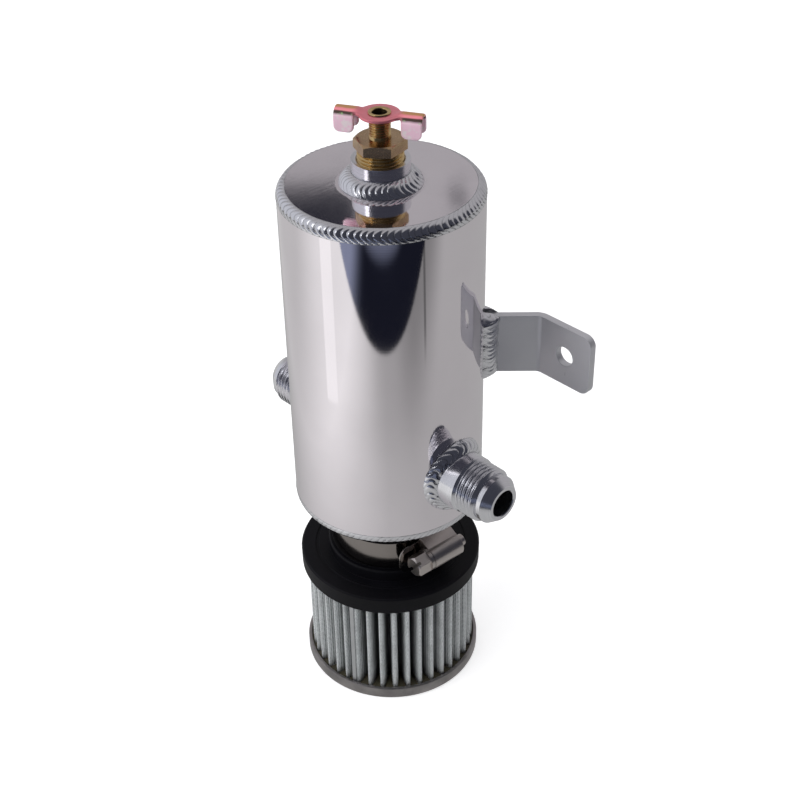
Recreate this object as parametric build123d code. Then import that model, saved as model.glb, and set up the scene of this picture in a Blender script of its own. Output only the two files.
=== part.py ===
from build123d import *
from math import cos, pi, radians, sin, tan
import os

# Oil catch can, in millimetres. It stands on the end cap of its breather filter, with the drain cock on top.
# Origin: centre of the filter cap's lower face. +Z runs up the axis of the can.
# +Y points at the wall that the two brackets bolt to, and the hose fittings point along -X and +X.

# Tank
tank_d = 76.2
tank_wall = 3.0
tank_h = 140.2
end_cap_t = 3.0
end_cap_inset = 1.5
end_bead_in = 3.3
end_bead_down = 4.9
end_bead_bulge = 1.6

# Clearances between pieces of one assembly
slip = 0.05
running_gap = 0.07
seat_gap = 0.1

# Breather filter
filter_cap_h = 5.4
filter_cap_floor = 1.0
filter_cap_wall = 0.8
filter_cap_hem = 1.5
filter_cap_to_media = 0.5
filter_cap_chamfer = 0.8
potting_t = 3.4
media_d = 70.4
media_inner_d = 52.0
media_visible_h = 45.3
media_embed = 2.4
media_sheet_t = 1.3
pleat_count = 40
pleat_first_deg = -42.0
pleat_tip_w = 2.0
pleat_fold_w = 0.6
seam_deg = -71.3
seam_w = 3.0
seam_t = 0.35
flange_h = 6.6
flange_wall = 1.9
flange_taper = 2.8
flange_lip_h = 1.2
flange_recess = 3.0
flange_skirt_gap = 0.5
flange_ring_d = 62.0
flange_ring_w = 1.4
flange_ring_depth = 0.4
neck_d = 48.0
neck_h = 22.7
neck_collar_d = 52.0
neck_collar_h = 5.7
flange_to_tank = 30.2

# Breather pipe
pipe_d = 40.0
pipe_wall = 2.5
pipe_insert = 21.0
pipe_bead = 3.6

# Worm-drive clamp on the neck
band_w = 12.7
band_t = 0.7
band_lap = 0.15
band_mid_above_flange = 13.3
clamp_deg = -4.0
tail_length = 16.0
tail_end_r = 5.0
screw_offset = 30.5
screw_thread_d = 8.0
screw_tip_d = 5.0
screw_tip_l = 3.1
screw_head_af = 8.0
screw_head_l = 6.2
screw_collar_d = 9.6
screw_collar_l = 1.6
screw_crown_l = 1.2
screw_slot_w = 1.3
screw_slot_depth = 1.8
screw_slot_deg = 40.0
housing_low_y = -5.2
housing_l = 15.1
housing_t = 0.9
housing_foot_w = 14.6
housing_foot_rise = 2.0
housing_end_t = 1.0

# Drain bung and drain cock
bung_d = 21.6
bung_h = 9.3
bung_bead = 4.7
pipe_thread_d = 17.1
pipe_thread_above = 3.7
pipe_thread_below = 9.0
cock_hex_af = 17.0
cock_hex_t = 4.1
cock_hex_deg = -51.0
cock_seat_chamfer = 1.0
stem_d = 7.9
stem_above_hex = 8.25
stem_bore_d = 5.2
stem_flare_d = 8.3
stem_flare_t = 0.5
stem_journal_d = 7.0
stem_head_d = 12.4
stem_head_t = 2.2
stem_port_d = 1.8
seal_d = 12.0
seal_t = 1.5
seal_hole_d = 9.0

# Wing handle, pressed from sheet
handle_t = 1.2
handle_half = 16.2
handle_disc_d = 15.0
handle_arm_w = 7.0
handle_arm_rise = 1.1
handle_waist_w = 5.2
handle_waist_r = 3.0
handle_ear_from = 8.6
handle_ear_h = 7.6
handle_ear_r = 2.2
handle_deg = 29.0

# Hose fittings: a cone seat, a thread and a plain shank that is welded in
fitting_above_base = 26.8
fitting_tip = 63.2
fitting_thread_d = 22.2
fitting_thread_l = 9.6
fitting_thread_chamfer = 1.0
fitting_shank_d = 23.2
fitting_shank_inside = 2.0
fitting_nose_d = 19.6
fitting_nose_l = 5.4
fitting_cone_l = 3.6
fitting_cone_deg = 37.0
fitting_groove_d = 18.9
fitting_groove_w = 0.8
fitting_bore_d = 11.0
fitting_bead = 4.7

# Mounting brackets: a strap bent by 45 degrees
strap_w = 25.4
strap_t = 3.2
strap_low_above_base = 58.0
strap_leg_deg = 45.0
strap_bend_r = 3.0
strap_end_r = 4.0
wall_y = 43.9
bolt_spacing = 111.0
bolt_hole_d = 8.0
strap_end_beyond_hole = 12.4
strap_bead = 5.4
strap_bead_extra = 1.6

# Worked-out places
tank_r = tank_d / 2
inner_r = tank_r - tank_wall
end_cap_bevel = end_bead_in - end_cap_inset
filter_cap_d = media_d + 2 * (filter_cap_to_media + filter_cap_hem)
flange_d = media_d + 2 * (flange_skirt_gap + seam_t + slip + flange_wall)
flange_top_d = flange_d - 2 * flange_taper
potting_top_z = filter_cap_floor + potting_t
media_low_z = potting_top_z - media_embed
flange_low_z = potting_top_z + media_visible_h
flange_top_z = flange_low_z + flange_h
media_top_z = flange_low_z + flange_recess
neck_top_z = flange_top_z + neck_h
base_z = flange_top_z + flange_to_tank
top_z = base_z + tank_h
band_mid_z = flange_top_z + band_mid_above_flange
bung_top_z = top_z + bung_h
hex_low_z = bung_top_z + pipe_thread_above
hex_top_z = hex_low_z + cock_hex_t
cock_low_z = bung_top_z - pipe_thread_below
handle_low_z = hex_top_z + stem_above_hex
handle_top_z = handle_low_z + handle_t
fitting_z = base_z + fitting_above_base
strap_low_z = base_z + strap_low_above_base
strap_mid_z = strap_low_z + strap_w / 2


def disc(diameter, low, high):
    """Upright cylinder between two heights."""
    return Pos(0, 0, low) * Cylinder(diameter / 2, high - low, align=(Align.CENTER, Align.CENTER, Align.MIN))


def ring(outer_d, inner_d, low, high):
    return disc(outer_d, low, high) - disc(inner_d, low - 1, high + 1)


def turned(points):
    """Solid turned about the Z axis from corners (radius, height)."""
    return revolve(Plane.XZ * make_face(Polyline(*points, close=True)), Axis.Z)


def bead_face(corners, bulge):
    """Section of a weld bead in the XZ plane: its corners from toe to toe, closed by a crown of four flats."""
    start, end = corners[0], corners[-1]
    mid = (Vector(*start) + Vector(*end)) / 2
    along = (Vector(*end) - Vector(*start)).normalized()
    crown = ThreePointArc(end, mid + Vector(along.Y, -along.X, 0) * bulge, start)
    flats = [crown @ (k / 4) for k in (1, 2, 3)]
    return Plane.XZ * make_face(Polyline(*corners, *flats, close=True))


# Tank: a tube with a disc laid on each end, and an outside corner weld round each disc
def tank_tube():
    tube = ring(tank_d, 2 * inner_r, base_z + end_cap_t, top_z - end_cap_t)
    for side in (-1, 1):
        hole = Cylinder(fitting_shank_d / 2 + slip, tank_d / 2, align=(Align.CENTER, Align.CENTER, Align.MIN))
        tube -= Pos(0, 0, fitting_z) * Rot(0, 90 * side, 0) * hole
    return tube


def at_end(solid, at_top):
    """Solid drawn at the drain end, or its mirror image at the breather end."""
    return solid if at_top else mirror(solid, Plane.XY.offset((base_z + top_z) / 2))


def end_cap(at_top, hole_d):
    """Disc whose outer corner is bevelled up to the toe of the weld that fills it."""
    cap = ring(tank_d - 2 * end_cap_inset, hole_d + 2 * slip, top_z - end_cap_t, top_z)
    rim = cap.edges().filter_by(GeomType.CIRCLE).group_by(Axis.Z)[-1].sort_by(SortBy.LENGTH)[-1]
    return at_end(chamfer(rim, end_cap_bevel), at_top)


def end_bead(at_top):
    cap_edge = tank_r - end_cap_inset
    corners = [
        (tank_r - end_bead_in, top_z), (cap_edge, top_z - end_cap_bevel), (cap_edge, top_z - end_cap_t),
        (tank_r, top_z - end_cap_t), (tank_r, top_z - end_bead_down),
    ]
    return at_end(revolve(bead_face(corners, -end_bead_bulge), Axis.Z), at_top)


# Fillet weld round an upright pipe on a level face, above it or below it
def pipe_bead_ring(diameter, z, leg, up):
    r = diameter / 2
    return revolve(bead_face([(r + leg, z), (r, z), (r, z + up * leg)], up * -leg / 8), Axis.Z)


# Breather filter
def filter_end_cap():
    r = filter_cap_d / 2
    wall_r = r - filter_cap_wall
    hem_r = r - filter_cap_hem
    hem_low = filter_cap_h - filter_cap_hem
    cup = turned([
        (0, 0), (r, 0), (r, filter_cap_h), (hem_r, filter_cap_h), (hem_r, hem_low + filter_cap_wall / 2),
        (wall_r, hem_low), (wall_r, filter_cap_floor), (0, filter_cap_floor),
    ])
    cup = chamfer(cup.edges().filter_by(GeomType.CIRCLE).group_by(Axis.Z)[0], filter_cap_chamfer)
    return chamfer(cup.edges().filter_by(GeomType.CIRCLE).group_by(Axis.Z)[-1], filter_cap_hem * 0.3)


def pleat_outline(tip_r, fold_r, tip_w, fold_w):
    """Closed zigzag: one flat-tipped pleat after another round the circle."""
    pitch = 2 * pi / pleat_count
    corners = []
    for k in range(pleat_count):
        at = radians(pleat_first_deg) + k * pitch
        tip_half = tip_w / 2 / tip_r
        fold_half = fold_w / 2 / fold_r
        for r, a in ((tip_r, at - tip_half), (tip_r, at + tip_half),
                     (fold_r, at + pitch / 2 - fold_half), (fold_r, at + pitch / 2 + fold_half)):
            corners.append((r * cos(a), r * sin(a)))
    return make_face(Polyline(*corners, close=True))


def pleated_media():
    outer = pleat_outline(media_d / 2, media_inner_d / 2 + media_sheet_t, pleat_tip_w, pleat_fold_w)
    inner = pleat_outline(media_d / 2 - media_sheet_t, media_inner_d / 2, pleat_fold_w, pleat_tip_w)
    return Pos(0, 0, media_low_z) * extrude(outer - inner, media_top_z - media_low_z)


def potting_bed(media):
    bed = disc(filter_cap_d - 2 * filter_cap_wall - 2 * slip, filter_cap_floor, potting_top_z)
    hem_low = filter_cap_h - filter_cap_hem
    bed -= ring(filter_cap_d, filter_cap_d - 2 * filter_cap_hem - 2 * slip, hem_low - slip, filter_cap_h)
    return bed - media


def media_seam_clip():
    """Narrow sheet strip over the joint where the two ends of the pleated media meet."""
    r = media_d / 2 + slip
    strip = ring(2 * (r + seam_t), 2 * r, potting_top_z, flange_low_z)
    bar = Pos(r, 0, potting_top_z) * Box(6, seam_w, media_visible_h, align=(Align.CENTER, Align.CENTER, Align.MIN))
    return strip & (Rot(0, 0, seam_deg) * bar)


def filter_flange():
    """Moulded rubber end of the filter: skirt, face, stepped collar and neck in one piece."""
    bore_r = pipe_d / 2 + slip
    skirt_r = media_d / 2 + flange_skirt_gap + seam_t + slip
    groove_in = flange_ring_d / 2 - flange_ring_w / 2
    groove_out = flange_ring_d / 2 + flange_ring_w / 2
    groove_z = flange_top_z - flange_ring_depth
    collar_top = flange_top_z + neck_collar_h
    lip_z = flange_low_z + flange_lip_h
    return turned([
        (bore_r, media_top_z), (skirt_r, media_top_z), (skirt_r, flange_low_z), (flange_d / 2, flange_low_z),
        (flange_d / 2, lip_z), (flange_d / 2 - 0.5, lip_z + 0.3), (flange_top_d / 2 + 0.8, flange_top_z - 0.8),
        (flange_top_d / 2, flange_top_z), (groove_out, flange_top_z), (groove_out, groove_z),
        (groove_in, groove_z), (groove_in, flange_top_z), (neck_collar_d / 2, flange_top_z),
        (neck_collar_d / 2, collar_top - 0.6), (neck_collar_d / 2 - 0.6, collar_top), (neck_d / 2, collar_top),
        (neck_d / 2, neck_top_z), (bore_r, neck_top_z),
    ])


def breather_pipe():
    return ring(pipe_d, pipe_d - 2 * pipe_wall, neck_top_z - pipe_insert, base_z + end_cap_t)


# Worm-drive clamp. It is laid out with its screw along Y beyond +X, then turned to its place on the neck.
def at_clamp(solid):
    return Rot(0, 0, clamp_deg) * Pos(0, 0, band_mid_z) * solid


band_in_r = neck_d / 2 + slip
band_out_r = band_in_r + band_t
tail_out_x = band_out_r + band_t - band_lap


def band_layer(outer_x, length):
    """Straight end of the band that leaves the ring at a tangent, with rounded corners."""
    strip = Pos(outer_x - band_t / 2, 0, 0) * Box(band_t, length, band_w, align=(Align.CENTER, Align.MAX, Align.CENTER))
    corners = strip.edges().filter_by(Axis.X).group_by(Axis.Y)[0]
    return fillet(corners, tail_end_r)


def clamp_band():
    loop = Pos(0, 0, -band_w / 2) * (
        Cylinder(band_out_r, band_w, align=(Align.CENTER, Align.CENTER, Align.MIN))
        - Cylinder(band_in_r, band_w, align=(Align.CENTER, Align.CENTER, Align.MIN))
    )
    return at_clamp(loop + band_layer(tail_out_x, tail_length))


def housing_section(barrel_r, foot_half):
    """Arched cover in the plane across the screw: a barrel round the screw that spreads into two feet."""
    foot_x = band_in_r - band_t
    knee_x = band_in_r + housing_foot_rise
    skirt = Polygon(
        (foot_x, foot_half), (foot_x, -foot_half), (knee_x, -foot_half),
        (screw_offset, -barrel_r), (screw_offset, barrel_r), (knee_x, foot_half), align=None,
    )
    return Pos(screw_offset, 0) * Circle(barrel_r) + skirt


def housing_block(barrel_r, foot_half, low, high):
    section = Plane.XZ * housing_section(barrel_r, foot_half)
    return Pos(0, low, 0) * extrude(section, high - low, dir=(0, 1, 0))


def along_y(radius, low, high):
    return Pos(screw_offset, low, 0) * Rot(-90, 0, 0) * Cylinder(
        radius, high - low, align=(Align.CENTER, Align.CENTER, Align.MIN))


def clamp_housing():
    """Cover that sits on the band and holds the screw. Its two ends carry the screw's journals."""
    bore_r = screw_thread_d / 2 + running_gap
    high_y = housing_low_y + housing_l
    cover = housing_block(bore_r + housing_t, housing_foot_w / 2, housing_low_y, high_y)
    cover -= housing_block(
        bore_r, housing_foot_w / 2 - housing_t, housing_low_y + housing_end_t, high_y - housing_end_t)
    cover -= along_y(screw_tip_d / 2 + running_gap, housing_low_y - 1, high_y + 1)
    cover -= Cylinder(band_out_r + slip, 2 * band_w)
    tail_way = Box(tail_out_x + slip, 4 * housing_l, band_w + 2 * slip, align=(Align.MIN, Align.CENTER, Align.CENTER))
    return at_clamp(cover - tail_way)


def clamp_screw():
    """Slotted hexagon head, collar, worm between the housing's ends, and a tip that stands out beyond them."""
    high_y = housing_low_y + housing_l
    collar_high = housing_low_y - seat_gap
    collar_low = collar_high - screw_collar_l
    head_low = collar_low - screw_head_l
    crown_y = head_low + screw_crown_l
    head_r = screw_head_af / 2
    worm = along_y(screw_thread_d / 2, housing_low_y + housing_end_t + seat_gap, high_y - housing_end_t - seat_gap)
    journal = along_y(screw_tip_d / 2, collar_low, high_y + screw_tip_l)
    collar = along_y(screw_collar_d / 2, collar_low, collar_high)
    hexagon = RegularPolygon(head_r, 6, major_radius=False, rotation=30)
    head = Pos(screw_offset, head_low, 0) * Rot(-90, 0, 0) * extrude(hexagon, screw_head_l)
    crown = Pos(screw_offset, head_low, 0) * Rot(-90, 0, 0) * Cone(
        head_r - screw_crown_l / 4, head_r + screw_crown_l, screw_crown_l, align=(Align.CENTER, Align.CENTER, Align.MIN))
    crown += along_y(head_r + screw_crown_l, crown_y, collar_low)
    slot = Pos(screw_offset, head_low, 0) * Rot(0, screw_slot_deg, 0) * Box(
        screw_slot_w, 2 * screw_slot_depth, 2 * screw_head_af)
    return at_clamp(worm + journal + collar + (head & crown) - slot)


# Drain end: a threaded bung welded into the disc, and the cock screwed into it
def drain_bung():
    hole_d = pipe_thread_d + 2 * slip
    bung = ring(bung_d, hole_d, top_z - end_cap_t, bung_top_z)
    mouth = bung.edges().filter_by(GeomType.CIRCLE).group_by(Axis.Z)[-1]
    return chamfer(mouth, 0.5)


def petcock_body():
    plug = disc(pipe_thread_d, cock_low_z, hex_low_z)
    plug = chamfer(plug.edges().group_by(Axis.Z)[0], 0.9)
    hexagon = Rot(0, 0, cock_hex_deg) * RegularPolygon(cock_hex_af / 2, 6, major_radius=False, rotation=30)
    nut = Pos(0, 0, hex_low_z) * extrude(hexagon, cock_hex_t)
    corner_r = cock_hex_af / 2 / cos(pi / 6)
    round_r = cock_hex_af / 2 + 0.05
    drop = (corner_r - round_r) * tan(radians(32))
    envelope = turned([
        (0, hex_low_z), (corner_r, hex_low_z), (corner_r, hex_top_z - drop), (round_r, hex_top_z), (0, hex_top_z)])
    body = plug + (nut & envelope)
    stem_hole_d = stem_d + 2 * running_gap
    body -= disc(stem_hole_d, cock_low_z - 1, hex_top_z + 1)
    seat = Pos(0, 0, cock_low_z) * Cone(
        stem_hole_d / 2 + cock_seat_chamfer, stem_hole_d / 2, cock_seat_chamfer,
        align=(Align.CENTER, Align.CENTER, Align.MIN))
    return body - seat


def petcock_stem():
    """Hollow stem. Its lower head carries the seal, and its upper end is flared over the handle."""
    seal_top = cock_low_z - seat_gap
    head_top = seal_top - seal_t
    head_low = head_top - stem_head_t
    shoulder = handle_low_z - running_gap
    flare_low = handle_top_z + running_gap
    stem_top = flare_low + stem_flare_t
    stem = turned([
        (0, head_low), (stem_head_d / 2 - 0.4, head_low), (stem_head_d / 2, head_low + 0.4),
        (stem_head_d / 2, head_top), (stem_d / 2, head_top), (stem_d / 2, shoulder),
        (stem_journal_d / 2, shoulder), (stem_journal_d / 2, flare_low), (stem_flare_d / 2, flare_low),
        (stem_flare_d / 2, stem_top), (0, stem_top),
    ])
    port_z = cock_low_z + stem_port_d
    stem -= disc(stem_bore_d, port_z - stem_port_d, stem_top + 1)
    mouth = stem.edges().filter_by(GeomType.CIRCLE).group_by(Axis.Z)[-1].sort_by(SortBy.LENGTH)[0]
    stem = chamfer(mouth, stem_flare_t * 0.7)
    for turn in (0, 90):
        stem -= Pos(0, 0, port_z) * Rot(0, 0, turn) * Rot(0, 90, 0) * Cylinder(stem_port_d / 2, 2 * stem_d)
    return stem


def stem_seal():
    seal_top = cock_low_z - seat_gap
    return ring(seal_d, seal_hole_d, seal_top - seal_t, seal_top)


# Wing handle: a disc with two arms, which are rolled into arches whose edges run down into ears
def arm_channel(side):
    """Rolled end of one arm, with rounded lower corners on its ears."""
    r = handle_arm_w / 2
    height = handle_arm_rise + handle_ear_h
    length = handle_half - handle_ear_from
    outer = Circle(r) + Pos(0, (r - height) / 2) * Rectangle(2 * r, height - r)
    inner = Circle(r - handle_t) + Pos(0, -height / 2) * Rectangle(2 * (r - handle_t), height)
    channel = extrude(Plane.YZ * (outer - inner), length)
    ear = Pos(length / 2, r - height / 2) * Rectangle(length, height)
    ear = fillet(ear.vertices().group_by(Axis.Y)[0], handle_ear_r)
    channel &= extrude(Plane.XZ * ear, handle_arm_w, both=True)
    return Rot(0, 0, 0 if side > 0 else 180) * Pos(handle_ear_from, 0, handle_top_z + handle_arm_rise - r) * channel


def wing_handle():
    reach = 2 * handle_ear_from + handle_arm_w / 2
    plate = Circle(handle_disc_d / 2) + Rectangle(reach, handle_waist_w)
    inner_corners = [v for v in plate.vertices() if abs(v.X) < reach / 2 - 1]
    plate = fillet(inner_corners, handle_waist_r)
    handle = Pos(0, 0, handle_low_z) * extrude(plate, handle_t) + arm_channel(-1) + arm_channel(1)
    handle -= disc(stem_journal_d + 2 * running_gap, handle_low_z - 2, handle_top_z + 1)
    return Rot(0, 0, handle_deg) * handle


# Hose fittings, turned about X, and their welds, which follow the saddle line where shank and tank meet
def hose_fitting(side):
    tip = fitting_tip
    nose_low = tip - fitting_nose_l
    groove_low = nose_low - fitting_groove_w
    thread_low = groove_low - fitting_thread_l
    cone_drop = fitting_cone_l * tan(radians(fitting_cone_deg))
    inner_end = inner_r - fitting_shank_inside
    bore = fitting_bore_d / 2
    thread_r = fitting_thread_d / 2
    groove_r = fitting_groove_d / 2
    nose_r = fitting_nose_d / 2
    shank_r = fitting_shank_d / 2
    profile = [
        (inner_end, bore), (inner_end, shank_r), (thread_low - 0.4, shank_r), (thread_low, thread_r),
        (groove_low - fitting_thread_chamfer, thread_r), (groove_low, thread_r - fitting_thread_chamfer),
        (groove_low, groove_r), (nose_low, groove_r), (nose_low, nose_r), (tip - fitting_cone_l, nose_r),
        (tip, nose_r - cone_drop), (tip, bore + 0.3), (tip - 0.3, bore),
    ]
    face = Plane.XZ * make_face(Polyline(*profile, close=True))
    body = Pos(0, 0, fitting_z) * revolve(face, Axis.X)
    return body if side > 0 else Rot(0, 0, 180) * body


def fitting_weld(side):
    """Bead along the saddle line. The drum's own seam is turned to the far side, clear of that line."""
    reach = tank_r + 2 * fitting_bead
    drum = Rot(0, 0, 180) * disc(tank_d, fitting_z - reach, fitting_z + reach)
    shank = Pos(0, 0, fitting_z) * Rot(0, 90, 0) * Cylinder(
        fitting_shank_d / 2, reach, align=(Align.CENTER, Align.CENTER, Align.MIN))
    joined = drum + shank
    seam = [e for e in joined.edges() if e.geom_type not in (GeomType.CIRCLE, GeomType.LINE)]
    bead = chamfer(seam, fitting_bead) - drum - shank
    return bead if side > 0 else Rot(0, 0, 180) * bead


# Brackets: the right one is drawn, and the left one is its mirror image
def strap_path():
    """Corner and ends of the strap's middle line, seen from above."""
    leg = radians(strap_leg_deg)
    middle_y = wall_y - strap_t / 2
    corner_x = middle_y / tan(leg)
    end_x = bolt_spacing / 2 + strap_end_beyond_hole
    start = tank_r * 0.9
    return (start * cos(leg), start * sin(leg)), (corner_x, middle_y), (end_x, middle_y)


def bracket_blank():
    start, corner, end = strap_path()
    path = FilletPolyline(start, corner, end, radius=strap_bend_r + strap_t / 2)
    side = Plane(origin=path @ 0, x_dir=(path % 0).cross(Vector(0, 0, 1)), z_dir=path % 0)
    section = side * Rectangle(strap_t, strap_w)
    return Pos(0, 0, strap_mid_z) * sweep(section, path)


def bracket(mirrored):
    start, corner, end = strap_path()
    strap = bracket_blank()
    far = strap.edges().filter_by(Axis.Y).group_by(Axis.X)[-1]
    strap = fillet(far, strap_end_r)
    strap -= disc(tank_d + 2 * slip, strap_low_z - 1, strap_low_z + strap_w + 1)
    hole = Pos(bolt_spacing / 2, wall_y, strap_mid_z) * Rot(90, 0, 0) * Cylinder(bolt_hole_d / 2, 4 * strap_t)
    strap -= hole
    return mirror(strap, Plane.YZ) if mirrored else strap


def bracket_welds(mirrored):
    """Upright fillet weld along each face of the strap where it meets the tank."""
    half = strap_t / 2
    toe_x = (tank_r ** 2 - (half + strap_bead) ** 2) ** 0.5
    bead = make_face([
        Line((toe_x - 1, half), (tank_r + strap_bead, half)),
        ThreePointArc(
            (tank_r + strap_bead, half),
            ((tank_r + strap_bead + toe_x) / 2 + 0.5, half + strap_bead / 2 + 0.5),
            (toe_x, half + strap_bead)),
        Line((toe_x, half + strap_bead), (toe_x - 1, half + strap_bead)),
        Line((toe_x - 1, half + strap_bead), (toe_x - 1, half)),
    ])
    bead = Pos(0, 0, strap_low_z - strap_bead_extra) * extrude(bead, strap_w + 2 * strap_bead_extra)
    pair = [bead, mirror(bead, Plane.XZ)]
    drum = disc(tank_d, strap_low_z - 9, strap_low_z + strap_w + 9)
    pair = [Rot(0, 0, strap_leg_deg) * one - drum for one in pair]
    if mirrored:
        pair = [mirror(one, Plane.YZ) for one in pair]
    return Compound(children=[one.solid() for one in pair])


media = pleated_media()
parts = {
    "tank_tube": tank_tube(),
    "drain_end_cap": end_cap(True, bung_d),
    "breather_end_cap": end_cap(False, pipe_d),
    "drain_end_weld": end_bead(True),
    "breather_end_weld": end_bead(False),
    "drain_bung": drain_bung(),
    "drain_bung_weld": pipe_bead_ring(bung_d, top_z, bung_bead, 1),
    "petcock_body": petcock_body(),
    "petcock_stem": petcock_stem(),
    "stem_seal": stem_seal(),
    "wing_handle": wing_handle(),
    "left_hose_fitting": hose_fitting(-1),
    "right_hose_fitting": hose_fitting(1),
    "left_fitting_weld": fitting_weld(-1),
    "right_fitting_weld": fitting_weld(1),
    "left_bracket": bracket(True),
    "right_bracket": bracket(False),
    "left_bracket_welds": bracket_welds(True),
    "right_bracket_welds": bracket_welds(False),
    "breather_pipe": breather_pipe(),
    "breather_pipe_weld": pipe_bead_ring(pipe_d, base_z, pipe_bead, -1),
    "filter_flange": filter_flange(),
    "pleated_media": media,
    "media_seam_clip": media_seam_clip(),
    "potting_bed": potting_bed(media),
    "filter_end_cap": filter_end_cap(),
    "clamp_band": clamp_band(),
    "clamp_housing": clamp_housing(),
    "clamp_screw": clamp_screw(),
}

os.makedirs("parts", exist_ok=True)
for node, solid in parts.items():
    export_step(solid, f"parts/{node}.step")
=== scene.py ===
"""Oil catch can: a welded, polished tank on its breather filter, with a wing-handled drain cock on top."""

import random
from math import atan2, ceil, cos, floor, hypot, pi, radians, sin, sqrt

import bmesh
import bpy
from bpy.props import FloatProperty, FloatVectorProperty, IntProperty, PointerProperty
from bpy.types import Operator, Panel, PropertyGroup
from mathutils import Matrix, Vector, noise


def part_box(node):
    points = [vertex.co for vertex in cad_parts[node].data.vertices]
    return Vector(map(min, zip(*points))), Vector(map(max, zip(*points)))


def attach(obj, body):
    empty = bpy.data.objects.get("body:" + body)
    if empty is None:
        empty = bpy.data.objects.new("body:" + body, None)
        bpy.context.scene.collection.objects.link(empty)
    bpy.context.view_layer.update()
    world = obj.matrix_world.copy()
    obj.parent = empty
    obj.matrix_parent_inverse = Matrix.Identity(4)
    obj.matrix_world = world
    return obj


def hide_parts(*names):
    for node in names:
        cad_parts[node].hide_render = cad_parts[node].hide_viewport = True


bl_info = {
    "name": "Oil Catch Can",
    "version": (1, 0, 0),
    "blender": (4, 5, 0),
    "location": "View3D > Sidebar > Catch Can",
    "description": "Builds a welded oil catch can with its filter, clamp, fittings and drain cock",
    "category": "Object",
}

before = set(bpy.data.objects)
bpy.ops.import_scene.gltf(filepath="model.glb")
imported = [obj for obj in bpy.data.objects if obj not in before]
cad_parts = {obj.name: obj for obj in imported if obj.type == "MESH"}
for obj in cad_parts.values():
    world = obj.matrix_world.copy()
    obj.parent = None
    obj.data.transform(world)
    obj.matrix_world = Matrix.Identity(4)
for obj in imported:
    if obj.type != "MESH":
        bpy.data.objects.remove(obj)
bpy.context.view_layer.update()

MM = 0.001
TANK_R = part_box("tank_tube")[1].x
BASE_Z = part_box("breather_end_cap")[0].z
TOP_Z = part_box("drain_end_cap")[1].z
BUNG_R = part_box("drain_bung")[1].x
BUNG_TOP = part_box("drain_bung")[1].z
COCK_LOW, COCK_HIGH = (corner.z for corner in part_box("petcock_body"))
STEM_LOW, STEM_HIGH = (corner.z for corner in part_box("petcock_stem"))
HANDLE_LOW, HANDLE_HIGH = (corner.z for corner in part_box("wing_handle"))
PLATE_TOP = STEM_HIGH - 0.57 * MM
FITTING_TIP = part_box("right_hose_fitting")[1].x
FITTING_Z = (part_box("right_hose_fitting")[0].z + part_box("right_hose_fitting")[1].z) / 2
SHANK_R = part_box("right_hose_fitting")[1].z - FITTING_Z
STRAP_LOW, STRAP_HIGH = (corner.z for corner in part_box("right_bracket"))
PIPE_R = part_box("breather_pipe")[1].x
NECK_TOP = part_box("filter_flange")[1].z
MEDIA_LOW, MEDIA_TOP = (corner.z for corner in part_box("pleated_media"))
CAP_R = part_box("filter_end_cap")[1].x
CAP_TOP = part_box("filter_end_cap")[1].z

# Level directions as the camera sees them
RIGHT = Vector((0.6900, 0.7239, 0))
TOWARD = Vector((0.7239, -0.6900, 0))


# Sizes and colours

def length(name, description, default):
    return FloatProperty(name=name, description=description, default=default, min=0, unit="LENGTH", precision=5)


def share(name, description, default):
    return FloatProperty(name=name, description=description, default=default, min=0, max=1, subtype="FACTOR")


def colour(name, description, default):
    return FloatVectorProperty(name=name, description=description, default=default, size=3, min=0, max=1,
                               subtype="COLOR")


class CatchCanTank(PropertyGroup):
    wall: length("Wall", "Thickness of the tank's wall", 3.0 * MM)
    cap: length("End disc", "Thickness of the disc at each end", 3.0 * MM)
    cap_inset: length("Disc inset", "How far the disc's edge lies inside the tank's outside", 1.5 * MM)
    aluminium: colour("Polished aluminium", "Colour of the tank", (0.92, 0.872, 0.905))
    turned: colour("Turned aluminium", "Colour of the bung, the fittings and the pipe", (0.86, 0.86, 0.89))
    roughness: share("Tank roughness", "Roughness of the polish", 0.032)


class CatchCanWelds(PropertyGroup):
    corner_in: length("Corner bead, across", "Reach of the corner bead over the disc", 3.3 * MM)
    corner_down: length("Corner bead, down", "Reach of the corner bead over the tank's side", 4.9 * MM)
    corner_bulge: length("Corner bulge", "Height of the corner bead over its chord", 1.3 * MM)
    ripple_pitch: length("Ripple pitch", "Distance from one weld ripple to the next", 2.55 * MM)
    ripple_height: length("Ripple height", "Height of a weld ripple", 0.34 * MM)
    bung_leg: length("Bung bead", "Leg of the fillet round the bung", 4.7 * MM)
    fitting_leg: length("Fitting bead", "Leg of the fillet round a hose fitting", 4.2 * MM)
    strap_leg: length("Strap bead", "Leg of the fillet beside a strap", 5.4 * MM)
    pipe_leg: length("Pipe bead", "Leg of the fillet round the breather pipe", 3.6 * MM)
    metal: colour("Weld metal", "Colour of the weld beads", (0.80, 0.80, 0.83))
    soot: colour("Weld soot", "Colour along the toes of the beads", (0.10, 0.10, 0.11))


class CatchCanThreads(PropertyGroup):
    hose_pitch: length("Hose thread pitch", "Pitch of the hose fittings' thread", 1.814 * MM)
    hose_r: length("Hose thread radius", "Radius over the crests of the hose thread", 11.1 * MM)
    plug_pitch: length("Plug thread pitch", "Pitch of the pipe thread on the drain cock", 1.411 * MM)
    stem_pitch: length("Stem thread pitch", "Pitch of the drain cock's stem", 0.95 * MM)


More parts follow.
